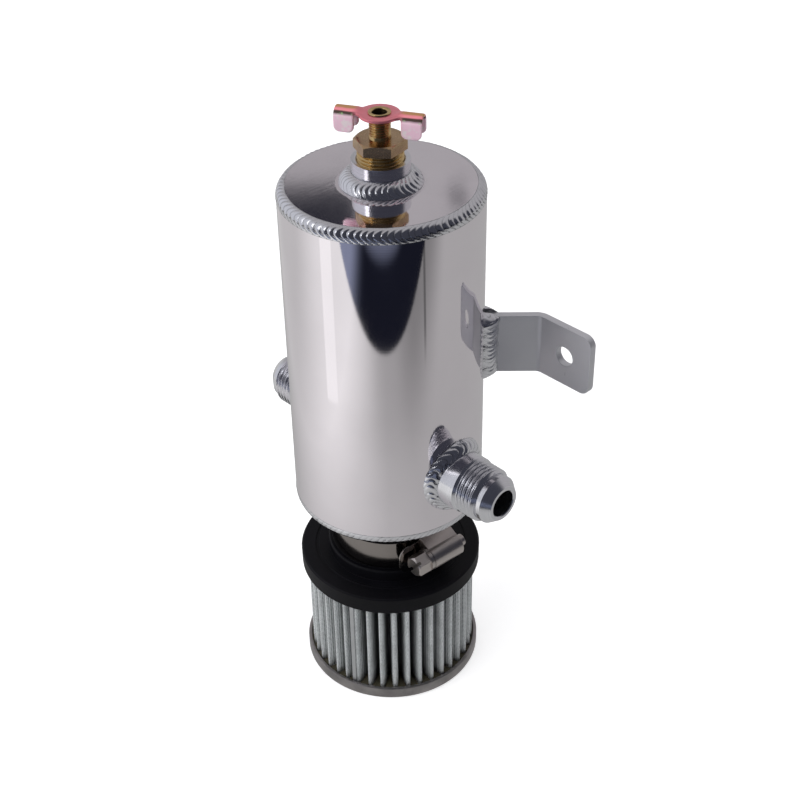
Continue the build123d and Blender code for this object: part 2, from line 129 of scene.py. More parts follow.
class CatchCanCock(PropertyGroup):
    hex_flats: length("Hexagon", "Width of the hexagon across its flats", 17.0 * MM)
    hex_height: length("Hexagon height", "Height of the hexagon", 4.1 * MM)
    brass: colour("Brass", "Colour of the drain cock's hexagon", (0.58, 0.40, 0.23))
    stem_brass: colour("Stem brass", "Colour of the turned stem and the plug", (0.76, 0.55, 0.26))
    tarnish: colour("Tarnish", "Colour of the dull specks on the hexagon", (0.15, 0.10, 0.06))
    sheet: length("Handle sheet", "Thickness of the handle's sheet", 1.2 * MM)
    zinc: colour("Zinc", "Main colour of the handle's plating", (0.88, 0.27, 0.32))
    # Painted highlight: gold over the crowns of the rolled arms.
    zinc_gold: colour("Gold sheen", "Colour of the plating over the rolled arms", (0.70, 0.38, 0.16))
    # Painted shade: dark where the roll turns down.
    zinc_dark: colour("Dark sheen", "Colour of the plating where the roll turns down", (0.07, 0.045, 0.035))
    zinc_green: colour("Green sheen", "Colour of the plating at the tops of the ears", (0.33, 0.55, 0.24))
    zinc_pale: colour("Pale sheen", "Colour of the plating on the ears", (0.98, 0.66, 0.78))


class CatchCanBracket(PropertyGroup):
    edge: length("Edge", "Rounding of the strap's edges", 0.35 * MM)
    metal: colour("Strap aluminium", "Colour of the brackets", (0.74, 0.74, 0.77))


class CatchCanFilter(PropertyGroup):
    pleats: IntProperty(name="Pleats", description="Number of pleats round the filter", default=40, min=8, max=90)
    gauze: colour("Gauze", "Colour of the pleated gauze", (0.94, 0.97, 0.97))
    gauze_gap: colour("Gauze gaps", "Colour between the threads of the gauze", (0.11, 0.125, 0.125))
    rubber: colour("Rubber", "Colour of the moulded end and neck", (0.0034, 0.0033, 0.0046))
    potting: colour("Potting", "Colour of the cast bed under the pleats", (0.09, 0.08, 0.05))
    steel: colour("End cap", "Colour of the pressed end cap", (0.45, 0.425, 0.42))


class CatchCanClamp(PropertyGroup):
    slot_pitch: length("Slot pitch", "Distance between the slots of the band", 2.3 * MM)
    slot_width: length("Slot width", "Width of a slot of the band", 1.0 * MM)
    strip: colour("Band steel", "Colour of the clamp's band", (0.34, 0.31, 0.29))
    steel: colour("Screw steel", "Colour of the clamp's housing and screw", (0.66, 0.61, 0.58))


class CatchCanStage(PropertyGroup):
    sheet_edge: length("Sheet edge", "Distance from the can to the front edge of the pale floor", 0.303)
    floor_bright: share("Bright floor", "Level of the floor beside the key light", 0.86)
    floor_dim: share("Dim floor", "Level of the floor away from the key light", 0.40)
    room: share("Room", "Level of the studio behind and over the can", 0.40)


# Shader maths

class Value:
    """Output of a node, on which arithmetic adds Math nodes."""

    def __init__(self, nodes, output):
        self.nodes = nodes
        self.output = output

    def math(self, operation, *others):
        return self.nodes.node("ShaderNodeMath", {"operation": operation}, dict(enumerate((self, *others))))

    def __add__(self, other):
        return self.math("ADD", other)

    def __sub__(self, other):
        return self.math("SUBTRACT", other)

    def __rsub__(self, other):
        return self.math("MULTIPLY", -1).math("ADD", other)

    def __mul__(self, other):
        return self.math("MULTIPLY", other)

    __radd__ = __add__
    __rmul__ = __mul__

    def step(self, low, high):
        """0 below low, 1 above high, smooth between."""
        settings = {"interpolation_type": "SMOOTHSTEP"}
        return self.nodes.node("ShaderNodeMapRange", settings, {"Value": self, "From Min": low, "From Max": high})

    def within(self, low, high, blur):
        """1 between low and high, fading to 0 outside."""
        return self.step(low - blur, low) * (1 - self.step(high, high + blur))


class Nodes:
    """A node tree, and the calls that add nodes to it."""

    def __init__(self, tree):
        self.tree = tree

    def node(self, kind, settings=None, inputs=None, output=0):
        made = self.tree.nodes.new(kind)
        for key, value in (settings or {}).items():
            if key == "stops":
                ramp = made.color_ramp.elements
                while len(ramp) < len(value):
                    ramp.new(0.5)
                for element, (place, shade) in zip(ramp, value):
                    element.position = place
                    element.color = (*shade, 1) if hasattr(shade, "__len__") else (shade, shade, shade, 1)
            else:
                setattr(made, key, value)
        for key, value in (inputs or {}).items():
            self.feed(made.inputs[key], value)
        return Value(self, made.outputs[output])

    def feed(self, socket, value):
        if isinstance(value, Value):
            self.tree.links.new(value.output, socket)
        elif socket.type == "RGBA" and len(value) == 3:
            socket.default_value = (*value, 1)
        else:
            socket.default_value = value

    def mix(self, factor, one, other):
        settings = {"data_type": "RGBA"}
        return self.node("ShaderNodeMix", settings, {0: factor, 6: one, 7: other}, output=2)

    def shades(self, factor, colour, level):
        """The colour, and that share of it where the factor is 1."""
        return self.mix(factor, colour, [level * c for c in colour])

    def part(self, vector, axis):
        """X, Y or Z of a vector."""
        return self.node("ShaderNodeSeparateXYZ", inputs={"Vector": vector}, output="XYZ".index(axis))

    def by_ray(self, kind, other, seen):
        """One shader for rays of that kind, the other for the rest."""
        is_kind = self.node("ShaderNodeLightPath", output=kind)
        return self.node("ShaderNodeMixShader", inputs={0: is_kind, 1: other, 2: seen})


class Finish(Nodes):
    """One procedural material, built round its Principled shader."""

    def __init__(self, name, **plain):
        self.material = bpy.data.materials.new(name)
        self.material.use_nodes = True
        super().__init__(self.material.node_tree)
        self.shader = self.tree.nodes["Principled BSDF"]
        for socket, value in plain.items():
            self.set(socket.replace("_", " "), value)

    def set(self, socket, value):
        self.feed(self.shader.inputs[socket], value)

    def place(self, scale=(1, 1, 1), turn=(0, 0, 0)):
        """Object coordinates, turned and scaled."""
        at = self.node("ShaderNodeTexCoord", output="Object")
        return self.node("ShaderNodeMapping", inputs={"Vector": at, "Rotation": turn, "Scale": scale})

    def off_axis(self):
        """Distance from the can's upright axis."""
        at = self.place()
        x, y = self.part(at, "X"), self.part(at, "Y")
        return (x * x + y * y).math("SQRT")

    def noise(self, at, scale, detail=3.0, roughness=0.5, distortion=0.0):
        return self.node("ShaderNodeTexNoise", inputs={
            "Vector": at, "Scale": scale, "Detail": detail, "Roughness": roughness, "Distortion": distortion})

    def attribute(self, name):
        return self.node("ShaderNodeAttribute", {"attribute_name": name}, output="Fac")

    def skin(self, colour, roughness, height, depth):
        """Colour and roughness of the surface, and its relief with a depth in millimetres."""
        self.set("Base Color", colour)
        self.set("Roughness", roughness)
        self.set("Normal", self.node("ShaderNodeBump", inputs={"Height": height, "Distance": depth * MM}))
        return self


def paint(mesh, build):
    """Gives a mesh the material of that function, which is named after it and built once."""
    name = build.__name__.replace("_", " ").capitalize()
    mesh.materials.clear()
    mesh.materials.append(bpy.data.materials.get(name) or build(name).material)


def sizes():
    return bpy.context.scene


# Materials

def polished_aluminium(name):
    """Buffed tank: fine lines round the axis and faint haze."""
    tank = sizes().catch_can_tank
    f = Finish(name, Metallic=1.0)
    lines = f.noise(f.place(scale=(14, 14, 2600)), 1.0, detail=4.0, roughness=0.7)
    cloud = f.noise(f.place(), 38.0, detail=4.0)
    return f.skin(f.shades(cloud.step(0.35, 0.75), tank.aluminium, 0.965),
                  tank.roughness + 0.03 * cloud.step(0.4, 0.8) + 0.02 * lines, lines + 0.25 * cloud, 0.0012)


def polished_disc(name):
    """Polished end disc, with fine straight brush lines and a paler, rougher ring round the weld on it."""
    tank = sizes().catch_can_tank
    f = Finish(name, Metallic=1.0)
    at = f.place()
    wobble = f.noise(at, 260.0, detail=3.0)
    halo = 1 - (f.off_axis() + 0.0012 * wobble).step(17.0 * MM, 17.6 * MM)
    cloud = f.noise(at, 45.0, detail=5.0, roughness=0.6)
    scratch = f.noise(f.place(scale=(1500, 60, 60), turn=(0, 0, 0.75)), 1.0, detail=4.0, roughness=0.65)
    return f.skin(f.shades(cloud.step(0.3, 0.8), tank.aluminium, 0.95),
                  tank.roughness + 0.015 + 0.2 * halo + 0.03 * cloud, scratch + 0.5 * cloud, 0.003)


def weld_metal(name):
    """Bright weld metal, with painted shade in its ripple valleys and dark soot along its toes."""
    welds = sizes().catch_can_welds
    f = Finish(name, Metallic=1.0)
    at = f.place()
    grain = f.noise(at, 900.0, detail=4.0, roughness=0.6)
    patch = f.noise(at, 190.0, detail=3.0)
    toe = f.attribute("toe")
    valley = f.attribute("valley")
    ragged = (toe + 0.22 * (patch - 0.5)).step(0.90, 1.02)
    # Painted shade: the weld metal is darkened in the ripple valleys.
    wear_and_shade = f.shades(valley.step(0.35, 1.0) * 0.65, welds.metal, 0.40)
    return f.skin(f.mix(ragged * 0.7, wear_and_shade, welds.soot), 0.12 + 0.10 * patch + 0.12 * valley + 0.2 * ragged,
                  grain + 0.6 * patch, 0.016)


def turned_aluminium(name, axis):
    """Machined surface with fine tool lines round its axis."""
    tank = sizes().catch_can_tank
    f = Finish(name, Metallic=1.0)
    fine = (1500, 9, 9) if axis == "X" else (9, 9, 1500)
    lines = f.noise(f.place(scale=fine), 1.0, detail=3.0, roughness=0.65)
    cloud = f.noise(f.place(), 120.0, detail=3.0)
    return f.skin(f.shades(1 - lines.step(0.3, 0.7), tank.turned, 0.90), 0.13 + 0.10 * lines + 0.06 * cloud,
                  lines, 0.006)


def turned_along_x(name):
    return turned_aluminium(name, "X")


def turned_along_z(name):
    return turned_aluminium(name, "Z")


def strap_aluminium(name):
    """Rolled strap: long grain, satin, with light scratches."""
    bracket = sizes().catch_can_bracket
    f = Finish(name, Metallic=0.80)
    grain = f.noise(f.place(scale=(40, 40, 1400)), 1.0, detail=4.0, roughness=0.7)
    cloud = f.noise(f.place(), 70.0, detail=4.0)
    nick = f.noise(f.place(scale=(300, 300, 60)), 1.0, detail=2.0, distortion=1.5).step(0.70, 0.74)
    return f.skin(f.mix(nick * 0.4, f.shades(cloud, bracket.metal, 0.9), (0.45, 0.45, 0.47)),
                  0.32 + 0.12 * grain + 0.10 * cloud, grain + 0.5 * nick, 0.010)


def machined_brass(name):
    """Brass with a satin skin, faint clouds and fine dull specks."""
    cock = sizes().catch_can_cock
    f = Finish(name, Metallic=1.0)
    at = f.place()
    cloud = f.noise(at, 300.0, detail=5.0, roughness=0.6)
    speck = f.noise(at, 3200.0, detail=2.0).step(0.56, 0.70)
    stain = 0.28 * cloud.step(0.35, 0.75) + 0.22 * speck
    return f.skin(f.mix(stain, cock.brass, cock.tarnish), 0.17 + 0.12 * cloud + 0.10 * speck,
                  cloud + 0.3 * speck, 0.012)


def polished_brass(name):
    """Turned stem: golden, with fine lines round it, and painted shade, near black, in its bore."""
    cock = sizes().catch_can_cock
    f = Finish(name, Metallic=1.0)
    lines = f.noise(f.place(scale=(20, 20, 2400)), 1.0, detail=2.0)
    cloud = f.noise(f.place(), 300.0, detail=3.0)
    # Painted shade: the inside of the bore is made near black.
    bore = 1 - f.off_axis().step(2.64 * MM, 2.80 * MM)
    gold = f.shades(cloud.step(0.3, 0.8), cock.stem_brass, 0.72)
    return f.skin(f.mix(bore * 0.93, gold, (0.02, 0.014, 0.008)), 0.17 + 0.10 * lines + 0.3 * bore, lines, 0.005)


def zinc_plating(name):
    """Iridescent plating: rose on the flat, a painted gold highlight on the rolled arms, painted dark shade and green
    where they turn into pale ears.
    """
    cock = sizes().catch_can_cock
    f = Finish(name, Metallic=1.0)
    at = f.place()
    cloud = f.noise(at, 240.0, detail=3.0)
    patch = f.noise(at, 420.0, detail=2.0)
    fold = f.attribute("fold") + 0.05 * (cloud - 0.5)
    arm = f.attribute("arm")
    rose, gold, dark, pale = cock.zinc, cock.zinc_gold, cock.zinc_dark, cock.zinc_pale
    # The ramp paints a gold highlight over the crowns and dark shade where the roll turns down, between the plating's
    # rose and pale.
    skin = f.node("ShaderNodeValToRGB", {"stops": [
        (0.0, rose), (0.05, gold), (0.13, gold), (0.21, rose), (0.27, rose), (0.31, dark), (0.37, dark),
        (0.45, pale), (1.0, pale)]}, {"Fac": fold})
    spot = patch.step(0.54, 0.66) * fold.within(0.38, 0.46, 0.05)
    mottle = f.noise(at, 900.0, detail=3.0)
    ear = fold.step(0.37, 0.48) * arm
    # Real wear here: paler patches rubbed into the ears.
    wear_and_shade = patch.step(0.45, 0.65) * ear
    coat = f.mix(spot * 0.8, f.mix(wear_and_shade * 0.55, skin, (0.90, 0.90, 0.84)), cock.zinc_green)
    f.set("Metallic", 0.78 - 0.62 * fold.step(0.13, 0.24) * arm)
    return f.skin(f.mix(arm, rose, coat), 0.25 + 0.10 * mottle + 0.15 * ear, mottle, 0.010)


def moulded_rubber(name):
    """Black moulded rubber with a fine matt skin and faint pale bloom."""
    made = sizes().catch_can_filter
    f = Finish(name, Specular_IOR_Level=0.16)
    at = f.place()
    grain = f.noise(at, 1500.0, detail=3.0)
    bloom = f.noise(at, 60.0, detail=5.0)
    return f.skin(f.shades(bloom.step(0.35, 0.8), made.rubber, 1.8), 0.44 + 0.15 * bloom, grain, 0.030)


def filter_gauze(name):
    """Wire-backed gauze: crossing threads on the pleats' own UV map, with painted shade deep between the pleats."""
    made = sizes().catch_can_filter
    f = Finish(name, Metallic=0.25)
    uv = f.node("ShaderNodeTexCoord", output="UV")
    mesh = 0.75 * MM
    warp, weft = ((f.part(uv, axis) * (2 * pi / mesh)).math("SINE") * 0.5 + 0.5 for axis in "XY")
    thread = warp.math("MAXIMUM", weft)
    fibre = f.noise(uv, 2600.0, detail=3.0)
    soil = f.noise(f.place(), 150.0, detail=4.0)
    # Painted shade: the gauze darkens towards the folds between the pleats.
    out_of_pleat_shade = f.off_axis().step(27.5 * MM, 35.2 * MM)
    lit = f.shades(soil.step(0.35, 0.8), made.gauze, 0.82)
    woven = f.mix((thread + 0.4 * (fibre - 0.5)).step(0.35, 0.85), made.gauze_gap, lit)
    return f.skin(f.mix(0.12 + 0.88 * out_of_pleat_shade, [0.25 * c for c in made.gauze_gap], woven), 0.50 + 0.2 * fibre,
                  thread, 0.08)


def seam_metal(name):
    """Thin bright strip over the media's joint."""
    f = Finish(name, Metallic=1.0)
    cloud = f.noise(f.place(), 240.0, detail=3.0)
    return f.skin(f.mix(cloud, (0.66, 0.67, 0.68), (0.58, 0.59, 0.60)), 0.34 + 0.2 * cloud, cloud, 0.04)


def cast_potting(name):
    """Cast bed of olive adhesive."""
    made = sizes().catch_can_filter
    f = Finish(name)
    cloud = f.noise(f.place(), 300.0, detail=4.0)
    return f.skin(f.shades(cloud, made.potting, 0.6), 0.45 + 0.25 * cloud, cloud, 0.12)


def plated_cap(name):
    """Pressed steel cap with a dull, slightly stained plating."""
    made = sizes().catch_can_filter
    f = Finish(name, Metallic=1.0)
    cloud = f.noise(f.place(), 90.0, detail=5.0, roughness=0.6)
    lines = f.noise(f.place(scale=(30, 30, 1200)), 1.0, detail=3.0)
    return f.skin(f.shades(cloud.step(0.3, 0.8), made.steel, 0.62), 0.34 + 0.14 * cloud + 0.08 * lines,
                  lines + cloud, 0.012)


def stainless(name, colour, dullness):
    """Stainless steel, slightly brown, with fine rolling lines."""
    f = Finish(name, Metallic=1.0)
    lines = f.noise(f.place(scale=(25, 25, 1600)), 1.0, detail=3.0)
    cloud = f.noise(f.place(), 140.0, detail=3.0)
    return f.skin(f.shades(cloud, colour, 0.82), dullness + 0.07 * lines + 0.04 * cloud, lines, 0.004)


def band_steel(name):
    return stainless(name, sizes().catch_can_clamp.strip, 0.06)


def screw_steel(name):
    return stainless(name, sizes().catch_can_clamp.steel, 0.26)


# Mesh work

def chain(bm, points):
    """Closed wire in the XZ plane through (radius, height) points."""
    verts = [bm.verts.new((r, 0, z)) for r, z in points]
    return verts, [bm.edges.new(pair) for pair in zip(verts, verts[1:] + verts[:1])]


def spin(bm, wire, steps):
    """Full turn of a wire round Z."""
    verts, edges = wire
    bmesh.ops.spin(bm, geom=verts + edges, axis=(0, 0, 1), cent=(0, 0, 0), angle=2 * pi, steps=steps, use_merge=True)


def turned(points, steps):
    """Profile of (radius, height) points, spun round Z."""
    bm = bmesh.new()
    spin(bm, chain(bm, points), steps)
    bmesh.ops.remove_doubles(bm, verts=bm.verts, dist=1e-7)
    bmesh.ops.recalc_face_normals(bm, faces=bm.faces)
    return bm


def soften(bm, width, segments=2, angle=30):
    """Rounds every edge that turns by more than the angle."""
    sharp = [e for e in bm.edges if e.is_manifold and e.calc_face_angle(0) > radians(angle)]
    bmesh.ops.bevel(bm, geom=sharp, offset=width, offset_type="OFFSET", segments=segments, profile=0.5,
                    affect="EDGES", clamp_overlap=True, material=-1)


def thread_rows(radius, low, high, span, pitch):
    """Points of a profile's straight side, in as many rows as cut a thread well into that span."""
    rows_per_pitch = 12
    rows = ceil(span / (pitch / rows_per_pitch))
    return [(radius, low + (high - low) * k / rows) for k in range(rows + 1)]


def threaded(bm, low, high, pitch, depth, runout, outer_r):
    """Cuts a screw thread into the band of a turned shape that lies at the outer radius."""
    for v in bm.verts:
        r = hypot(v.co.x, v.co.y)
        if r < outer_r - 0.02 * MM or not low <= v.co.z <= high:
            continue
        phase = (v.co.z - low) / pitch - atan2(v.co.y, v.co.x) / (2 * pi)
        groove = 0.5 - 0.5 * cos(2 * pi * phase)
        fade = min(1.0, (v.co.z - low) / runout, (high - v.co.z) / runout)
        scale = (r - depth * groove * max(0.0, fade)) / r
        v.co.x *= scale
        v.co.y *= scale


def linked(name, data):
    """Object of the scene with that data."""
    made = bpy.data.objects.new(name, data)
    bpy.context.scene.collection.objects.link(made)
    return made


def meshed(name, bm):
    """Object of the scene made of the mesh, which is freed."""
    mesh = bpy.data.meshes.new(name)
    bm.to_mesh(mesh)
    bm.free()
    return linked(name, mesh)


def piece(bm, name, build, replaces, body="tank", smooth=40):
    """Makes the object: shading, material, body and the solids that it stands for."""
    for face in bm.faces:
        face.smooth = True
    for edge in bm.edges:
        edge.smooth = edge.calc_face_angle(0) < radians(smooth)
    made = meshed(name, bm)
    paint(made.data, build)
    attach(made, body)
    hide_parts(*replaces)
    return made


def weld(bm, name, node):
    piece(bm, name, weld_metal, replaces=[node], smooth=70)


def even_shading(made):
    """Keeps flat faces flat beside their rounded edges."""
    weighted = made.modifiers.new("Weighted Normal", "WEIGHTED_NORMAL")
    weighted.keep_sharp = True


def applied(made, *helpers):
    """The object's mesh with its modifiers applied. The object and its helpers are removed."""
    bpy.context.view_layer.update()
    result = bmesh.new()
    result.from_object(made, bpy.context.evaluated_depsgraph_get())
    for used in (made, *helpers):
        mesh = used.data
        bpy.data.objects.remove(used)
        bpy.data.meshes.remove(mesh)
    return result


def cut(bm, cutter):
    """Takes the cutter's shape out of the mesh and frees the cutter."""
    whole, tool = meshed("whole", bm), meshed("tool", cutter)
    boolean = whole.modifiers.new("Cut", "BOOLEAN")
    boolean.operation = "DIFFERENCE"
    boolean.solver = "EXACT"
    boolean.object = tool
    return applied(whole, tool)


def even_skin(bm, cell):
    """The mesh's outside, remade in even cells of that size."""
    skin = meshed("skin", bm)
    remesh = skin.modifiers.new("Even cells", "REMESH")
    remesh.mode = "VOXEL"
    remesh.voxel_size = cell
    return applied(skin)


def ramp(value, low, high):
    """0 below low, 1 above high, smooth between."""
    t = min(1.0, max(0.0, (value - low) / (high - low)))
    return t * t * (3 - 2 * t)


def cad_copy(node, edge=0.0):
    """Merged copy of a solid's mesh, with flat faces joined up and its edges softened."""
    bm = bmesh.new()
    bm.from_mesh(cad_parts[node].data)
    bmesh.ops.remove_doubles(bm, verts=bm.verts, dist=2e-6)
    bmesh.ops.dissolve_limit(bm, angle_limit=radians(1), verts=bm.verts, edges=bm.edges)
    if edge:
        soften(bm, edge, angle=35)
    return bm


# Weld beads

# Place across a bead, in its "across" attribute, of the points at its root
ROOT = 2.0


class Ripples:
    """Crescent ripples of a weld bead: how high each point along and across the bead stands."""

    def __init__(self, count, height, curl, seed):
        pick = random.Random(seed)
        self.height = height
        self.curl = curl
        self.count = count
        edges = [0.0]
        for _ in range(count):
            edges.append(edges[-1] + pick.uniform(0.82, 1.18))
        self.edges = [e / edges[-1] for e in edges]
        self.gain = [pick.uniform(0.65, 1.25) for _ in range(count)]

    def at(self, along, across):
        """Height and valley share; along runs 0 to 1 round the bead, across -1 to 1 from toe to toe."""
        s = (along + self.curl * (1 - across * across) / self.count) % 1.0
        k = min(self.count - 1, int(s * self.count))
        while self.edges[k] > s:
            k -= 1
        while self.edges[k + 1] < s:
            k += 1
        part = (s - self.edges[k]) / (self.edges[k + 1] - self.edges[k])
        hump = sin(pi * part ** 0.7) ** 0.8
        edge = 1 - across ** 6
        return self.height * self.gain[k] * (hump - 0.8) * edge, 1 - hump


def bead_marks(bm):
    """Attributes of a bead's points: place across, nearness to a toe, depth between ripples, outward direction."""
    return [bm.verts.layers.float.new(name) for name in ("across", "toe", "valley", "normal_r", "normal_z")]


def arc_across(start, end, bulge, count):
    """Points from toe to toe over an arc, each with its outward direction and its place across."""
    a, b = Vector(start), Vector(end)
    chord = b - a
    out = Vector((-chord.y, chord.x)).normalized()
    half = chord.length / 2
    lift = max(abs(bulge), 1e-6)
    radius = (half * half + lift * lift) / (2 * lift)
    centre = (a + b) / 2 - out * (radius - lift)
    span = atan2(half, radius - lift)
    points = []
    for k in range(count + 1):
        t = -span + 2 * span * k / count
        way = chord.normalized() * sin(t) + out * cos(t)
        points.append((centre + way * radius, way, 2 * k / count - 1))
    return points


def round_bead(start, end, root, bulge, ripples, steps, across=14):
    """Bead round the Z axis from one toe to the other over an arc, closed at its root."""
    bm = bmesh.new()
    place, toe, valley, normal_r, normal_z = bead_marks(bm)
    profile = arc_across(start, end, bulge, across)
    wire = chain(bm, [p for p, _, _ in profile] + root)
    for v, (_, way, u) in zip(wire[0], profile):
        v[place], v[normal_r], v[normal_z] = u, way.x, way.y
    for v in wire[0][len(profile):]:
        v[place] = ROOT
    spin(bm, wire, steps)
    bmesh.ops.remove_doubles(bm, verts=bm.verts, dist=1e-8)
    for v in bm.verts:
        u = v[place]
        v[toe] = min(1.0, abs(u))
        if u == ROOT:
            continue
        angle = atan2(v.co.y, v.co.x)
        lift, v[valley] = ripples.at(angle / (2 * pi) % 1.0, u)
        lift += 0.12 * MM * noise.noise(v.co * 260) * (1 - u * u)
        v.co += Vector((cos(angle) * v[normal_r], sin(angle) * v[normal_r], v[normal_z])) * lift
    bmesh.ops.recalc_face_normals(bm, faces=bm.faces)
    return bm


def dimple(bm, at, reach, depth):
    """Presses a rounded pit into a bead, or raises a lump where the depth is negative."""
    bm.normal_update()
    for v in bm.verts:
        near = 1 - (v.co - Vector(at) * MM).length / reach
        if near > 0:
            v.co -= v.normal * depth * ramp(near, 0, 1)


def over_chord(foot, top, u, height):
    """Point above the line between a bead's toes, on its outer side; u runs -1 to 1 from foot to top."""
    chord = top - foot
    out = Vector((-chord.y, chord.x)).normalized()
    return foot + chord * (u + 1) / 2 + (-out if out.x < 0 else out) * height


def saddle_bead(leg, ripples, steps=420, across=14):
    """Bead along the line where a hose fitting's shank meets the tank's side, made round +X."""
    bm = bmesh.new()
    place, toe, valley, _, _ = bead_marks(bm)
    wire = chain(bm, [(0.01 + 0.001 * k, 0) for k in range(across + 2)])
    for k, v in enumerate(wire[0]):
        v[place] = 2 * k / across - 1 if k <= across else ROOT
    spin(bm, wire, steps)
    for v in bm.verts:
        u = v[place]
        angle = atan2(v.co.y, v.co.x)
        round_y, round_z = cos(angle), sin(angle)
        seat = sqrt(TANK_R ** 2 - (SHANK_R * round_y) ** 2)
        v[toe] = min(1.0, abs(u))
        if u == ROOT:
            v.co = (seat - 0.3 * MM, SHANK_R * round_y, FITTING_Z + SHANK_R * round_z)
            continue
        wave = 1 + 0.05 * noise.noise(Vector((round_y, round_z, 0.3)) * 3) + 0.05 * noise.noise(
            Vector((round_y, round_z, 2)) * 9)
        reach = leg * wave * (1 - 0.24 * max(0.0, -round_y))
        outer = SHANK_R + reach
        wall = sqrt(TANK_R ** 2 - (outer * round_y) ** 2)
        foot = Vector((wall - 0.05 * MM, outer))
        top = Vector((seat + reach, SHANK_R - 0.05 * MM))
        lift, v[valley] = ripples.at(angle / (2 * pi) % 1.0, u)
        flat = over_chord(foot, top, u, 0.17 * leg * (1 - u * u) + lift)
        v.co = (flat.x, flat.y * round_y, FITTING_Z + flat.y * round_z)
    bmesh.ops.remove_doubles(bm, verts=bm.verts, dist=1e-8)
    bmesh.ops.recalc_face_normals(bm, faces=bm.faces)
    return bm


def upright_bead(leg, half_strap, ripples, steps=150, across=12):
    """Fillet beside a strap that stands out of the tank along +X, on its +Y face."""
    bm = bmesh.new()
    _, toe, valley, _, _ = bead_marks(bm)
    bmesh.ops.create_grid(bm, x_segments=across, y_segments=steps, size=1.0)
    low, high = STRAP_LOW - 1.6 * MM, STRAP_HIGH + 1.6 * MM
    for v in bm.verts:
        u, t = v.co.x, (v.co.y + 1) / 2
        ends = min(1.0, 9 * min(t, 1 - t)) ** 0.5
        blob = 1 + 0.16 * max(0.0, 1 - 14 * abs(t - 0.04)) + 0.22 * max(0.0, 1 - 12 * abs(t - 0.93))
        reach = leg * blob * (0.25 + 0.75 * ends) * (1 + 0.06 * noise.noise(Vector((t * 9, 0, leg * 900))))
        wall_y = half_strap + reach
        foot = Vector((sqrt(TANK_R ** 2 - wall_y ** 2) - 0.1 * MM, wall_y))
        top = Vector((TANK_R + reach, half_strap - 0.05 * MM))
        v[toe] = abs(u) ** 2
        lift, v[valley] = ripples.at(0.999 * t, u)
        flat = over_chord(foot, top, u, (0.14 * leg * (1 - u * u) + lift) * ends)
        v.co = (flat.x, flat.y, low + (high - low) * t)
    rim = [e for e in bm.edges if e.is_boundary]
    rim_verts = {v for e in rim for v in e.verts}
    made = bmesh.ops.extrude_edge_only(bm, edges=rim)["geom"]
    inner = [g for g in made if isinstance(g, bmesh.types.BMVert) and g not in rim_verts]
    for v in inner:
        v.co = (TANK_R - 0.6 * MM, half_strap - 0.5 * MM, v.co.z)
    bmesh.ops.remove_doubles(bm, verts=inner, dist=1e-7)
    bmesh.ops.holes_fill(bm, edges=[e for e in bm.edges if e.is_boundary], sides=0)
    bmesh.ops.recalc_face_normals(bm, faces=bm.faces)
    return bm


# Pieces

class CATCHCAN_OT_tank(Operator):
    """Builds the polished tank wall and the disc at each end"""
    bl_idname = "catch_can.tank"
    bl_label = "Tank"

    def execute(self, context):
        tank = context.scene.catch_can_tank
        inner = TANK_R - tank.wall
        low, high = BASE_Z + tank.cap, TOP_Z - tank.cap
        wall = turned([(TANK_R, low), (TANK_R, high), (inner, high), (inner, low)], 256)
        hole_r = SHANK_R + 0.05 * MM
        across = Matrix.Translation((0, 0, FITTING_Z)) @ Matrix.Rotation(pi / 2, 4, "Y")
        drill = bmesh.new()
        bmesh.ops.create_cone(drill, cap_ends=True, segments=48, radius1=hole_r, radius2=hole_r, depth=5 * TANK_R)
        bmesh.ops.transform(drill, matrix=across, verts=drill.verts)
        piece(cut(wall, drill), "tank_wall", polished_aluminium, replaces=["tank_tube"])
        edge = TANK_R - tank.cap_inset
        bevel = context.scene.catch_can_welds.corner_in - tank.cap_inset
        for name, node, face, way, hole in (("drain_disc", "drain_end_cap", TOP_Z, -1, BUNG_R),
                                            ("breather_disc", "breather_end_cap", BASE_Z, 1, PIPE_R)):
            inside = face + way * tank.cap
            plate = turned([(hole, face), (edge - bevel, face), (edge, face + way * bevel), (edge, inside),
                            (hole, inside)], 192)
            piece(plate, name, polished_disc, replaces=[node], smooth=30)
        return {"FINISHED"}


class CATCHCAN_OT_corner_welds(Operator):
    """Builds the rippled bead round each end of the tank"""
    bl_idname = "catch_can.corner_welds"
    bl_label = "Corner welds"

    def execute(self, context):
        welds = context.scene.catch_can_welds
        tank = context.scene.catch_can_tank
        edge = TANK_R - tank.cap_inset
        bevel = welds.corner_in - tank.cap_inset
        count = round(2 * pi * TANK_R / welds.ripple_pitch)
        for name, node, face, way, height, curl, seed in (
                ("drain_end_bead", "drain_end_weld", TOP_Z, -1, 1.0, 1.3, 7),
                ("breather_end_bead", "breather_end_weld", BASE_Z, 1, 0.3, 0.9, 8)):
            toes = [(TANK_R, face + way * welds.corner_down), (TANK_R - welds.corner_in, face)]
            root = [(edge, face + way * bevel), (edge, face + way * tank.cap), (TANK_R, face + way * tank.cap)]
            if face == TOP_Z:
                toes.reverse()
                root.reverse()
            ripples = Ripples(count, height * welds.ripple_height, curl, seed)
            bead = round_bead(*toes, root, welds.corner_bulge, ripples, 10 * count)
            if face == TOP_Z:
                dimple(bead, (-21.2, -26.3, 226.5), 2.2 * MM, -0.7 * MM)
            weld(bead, name, node)
        return {"FINISHED"}


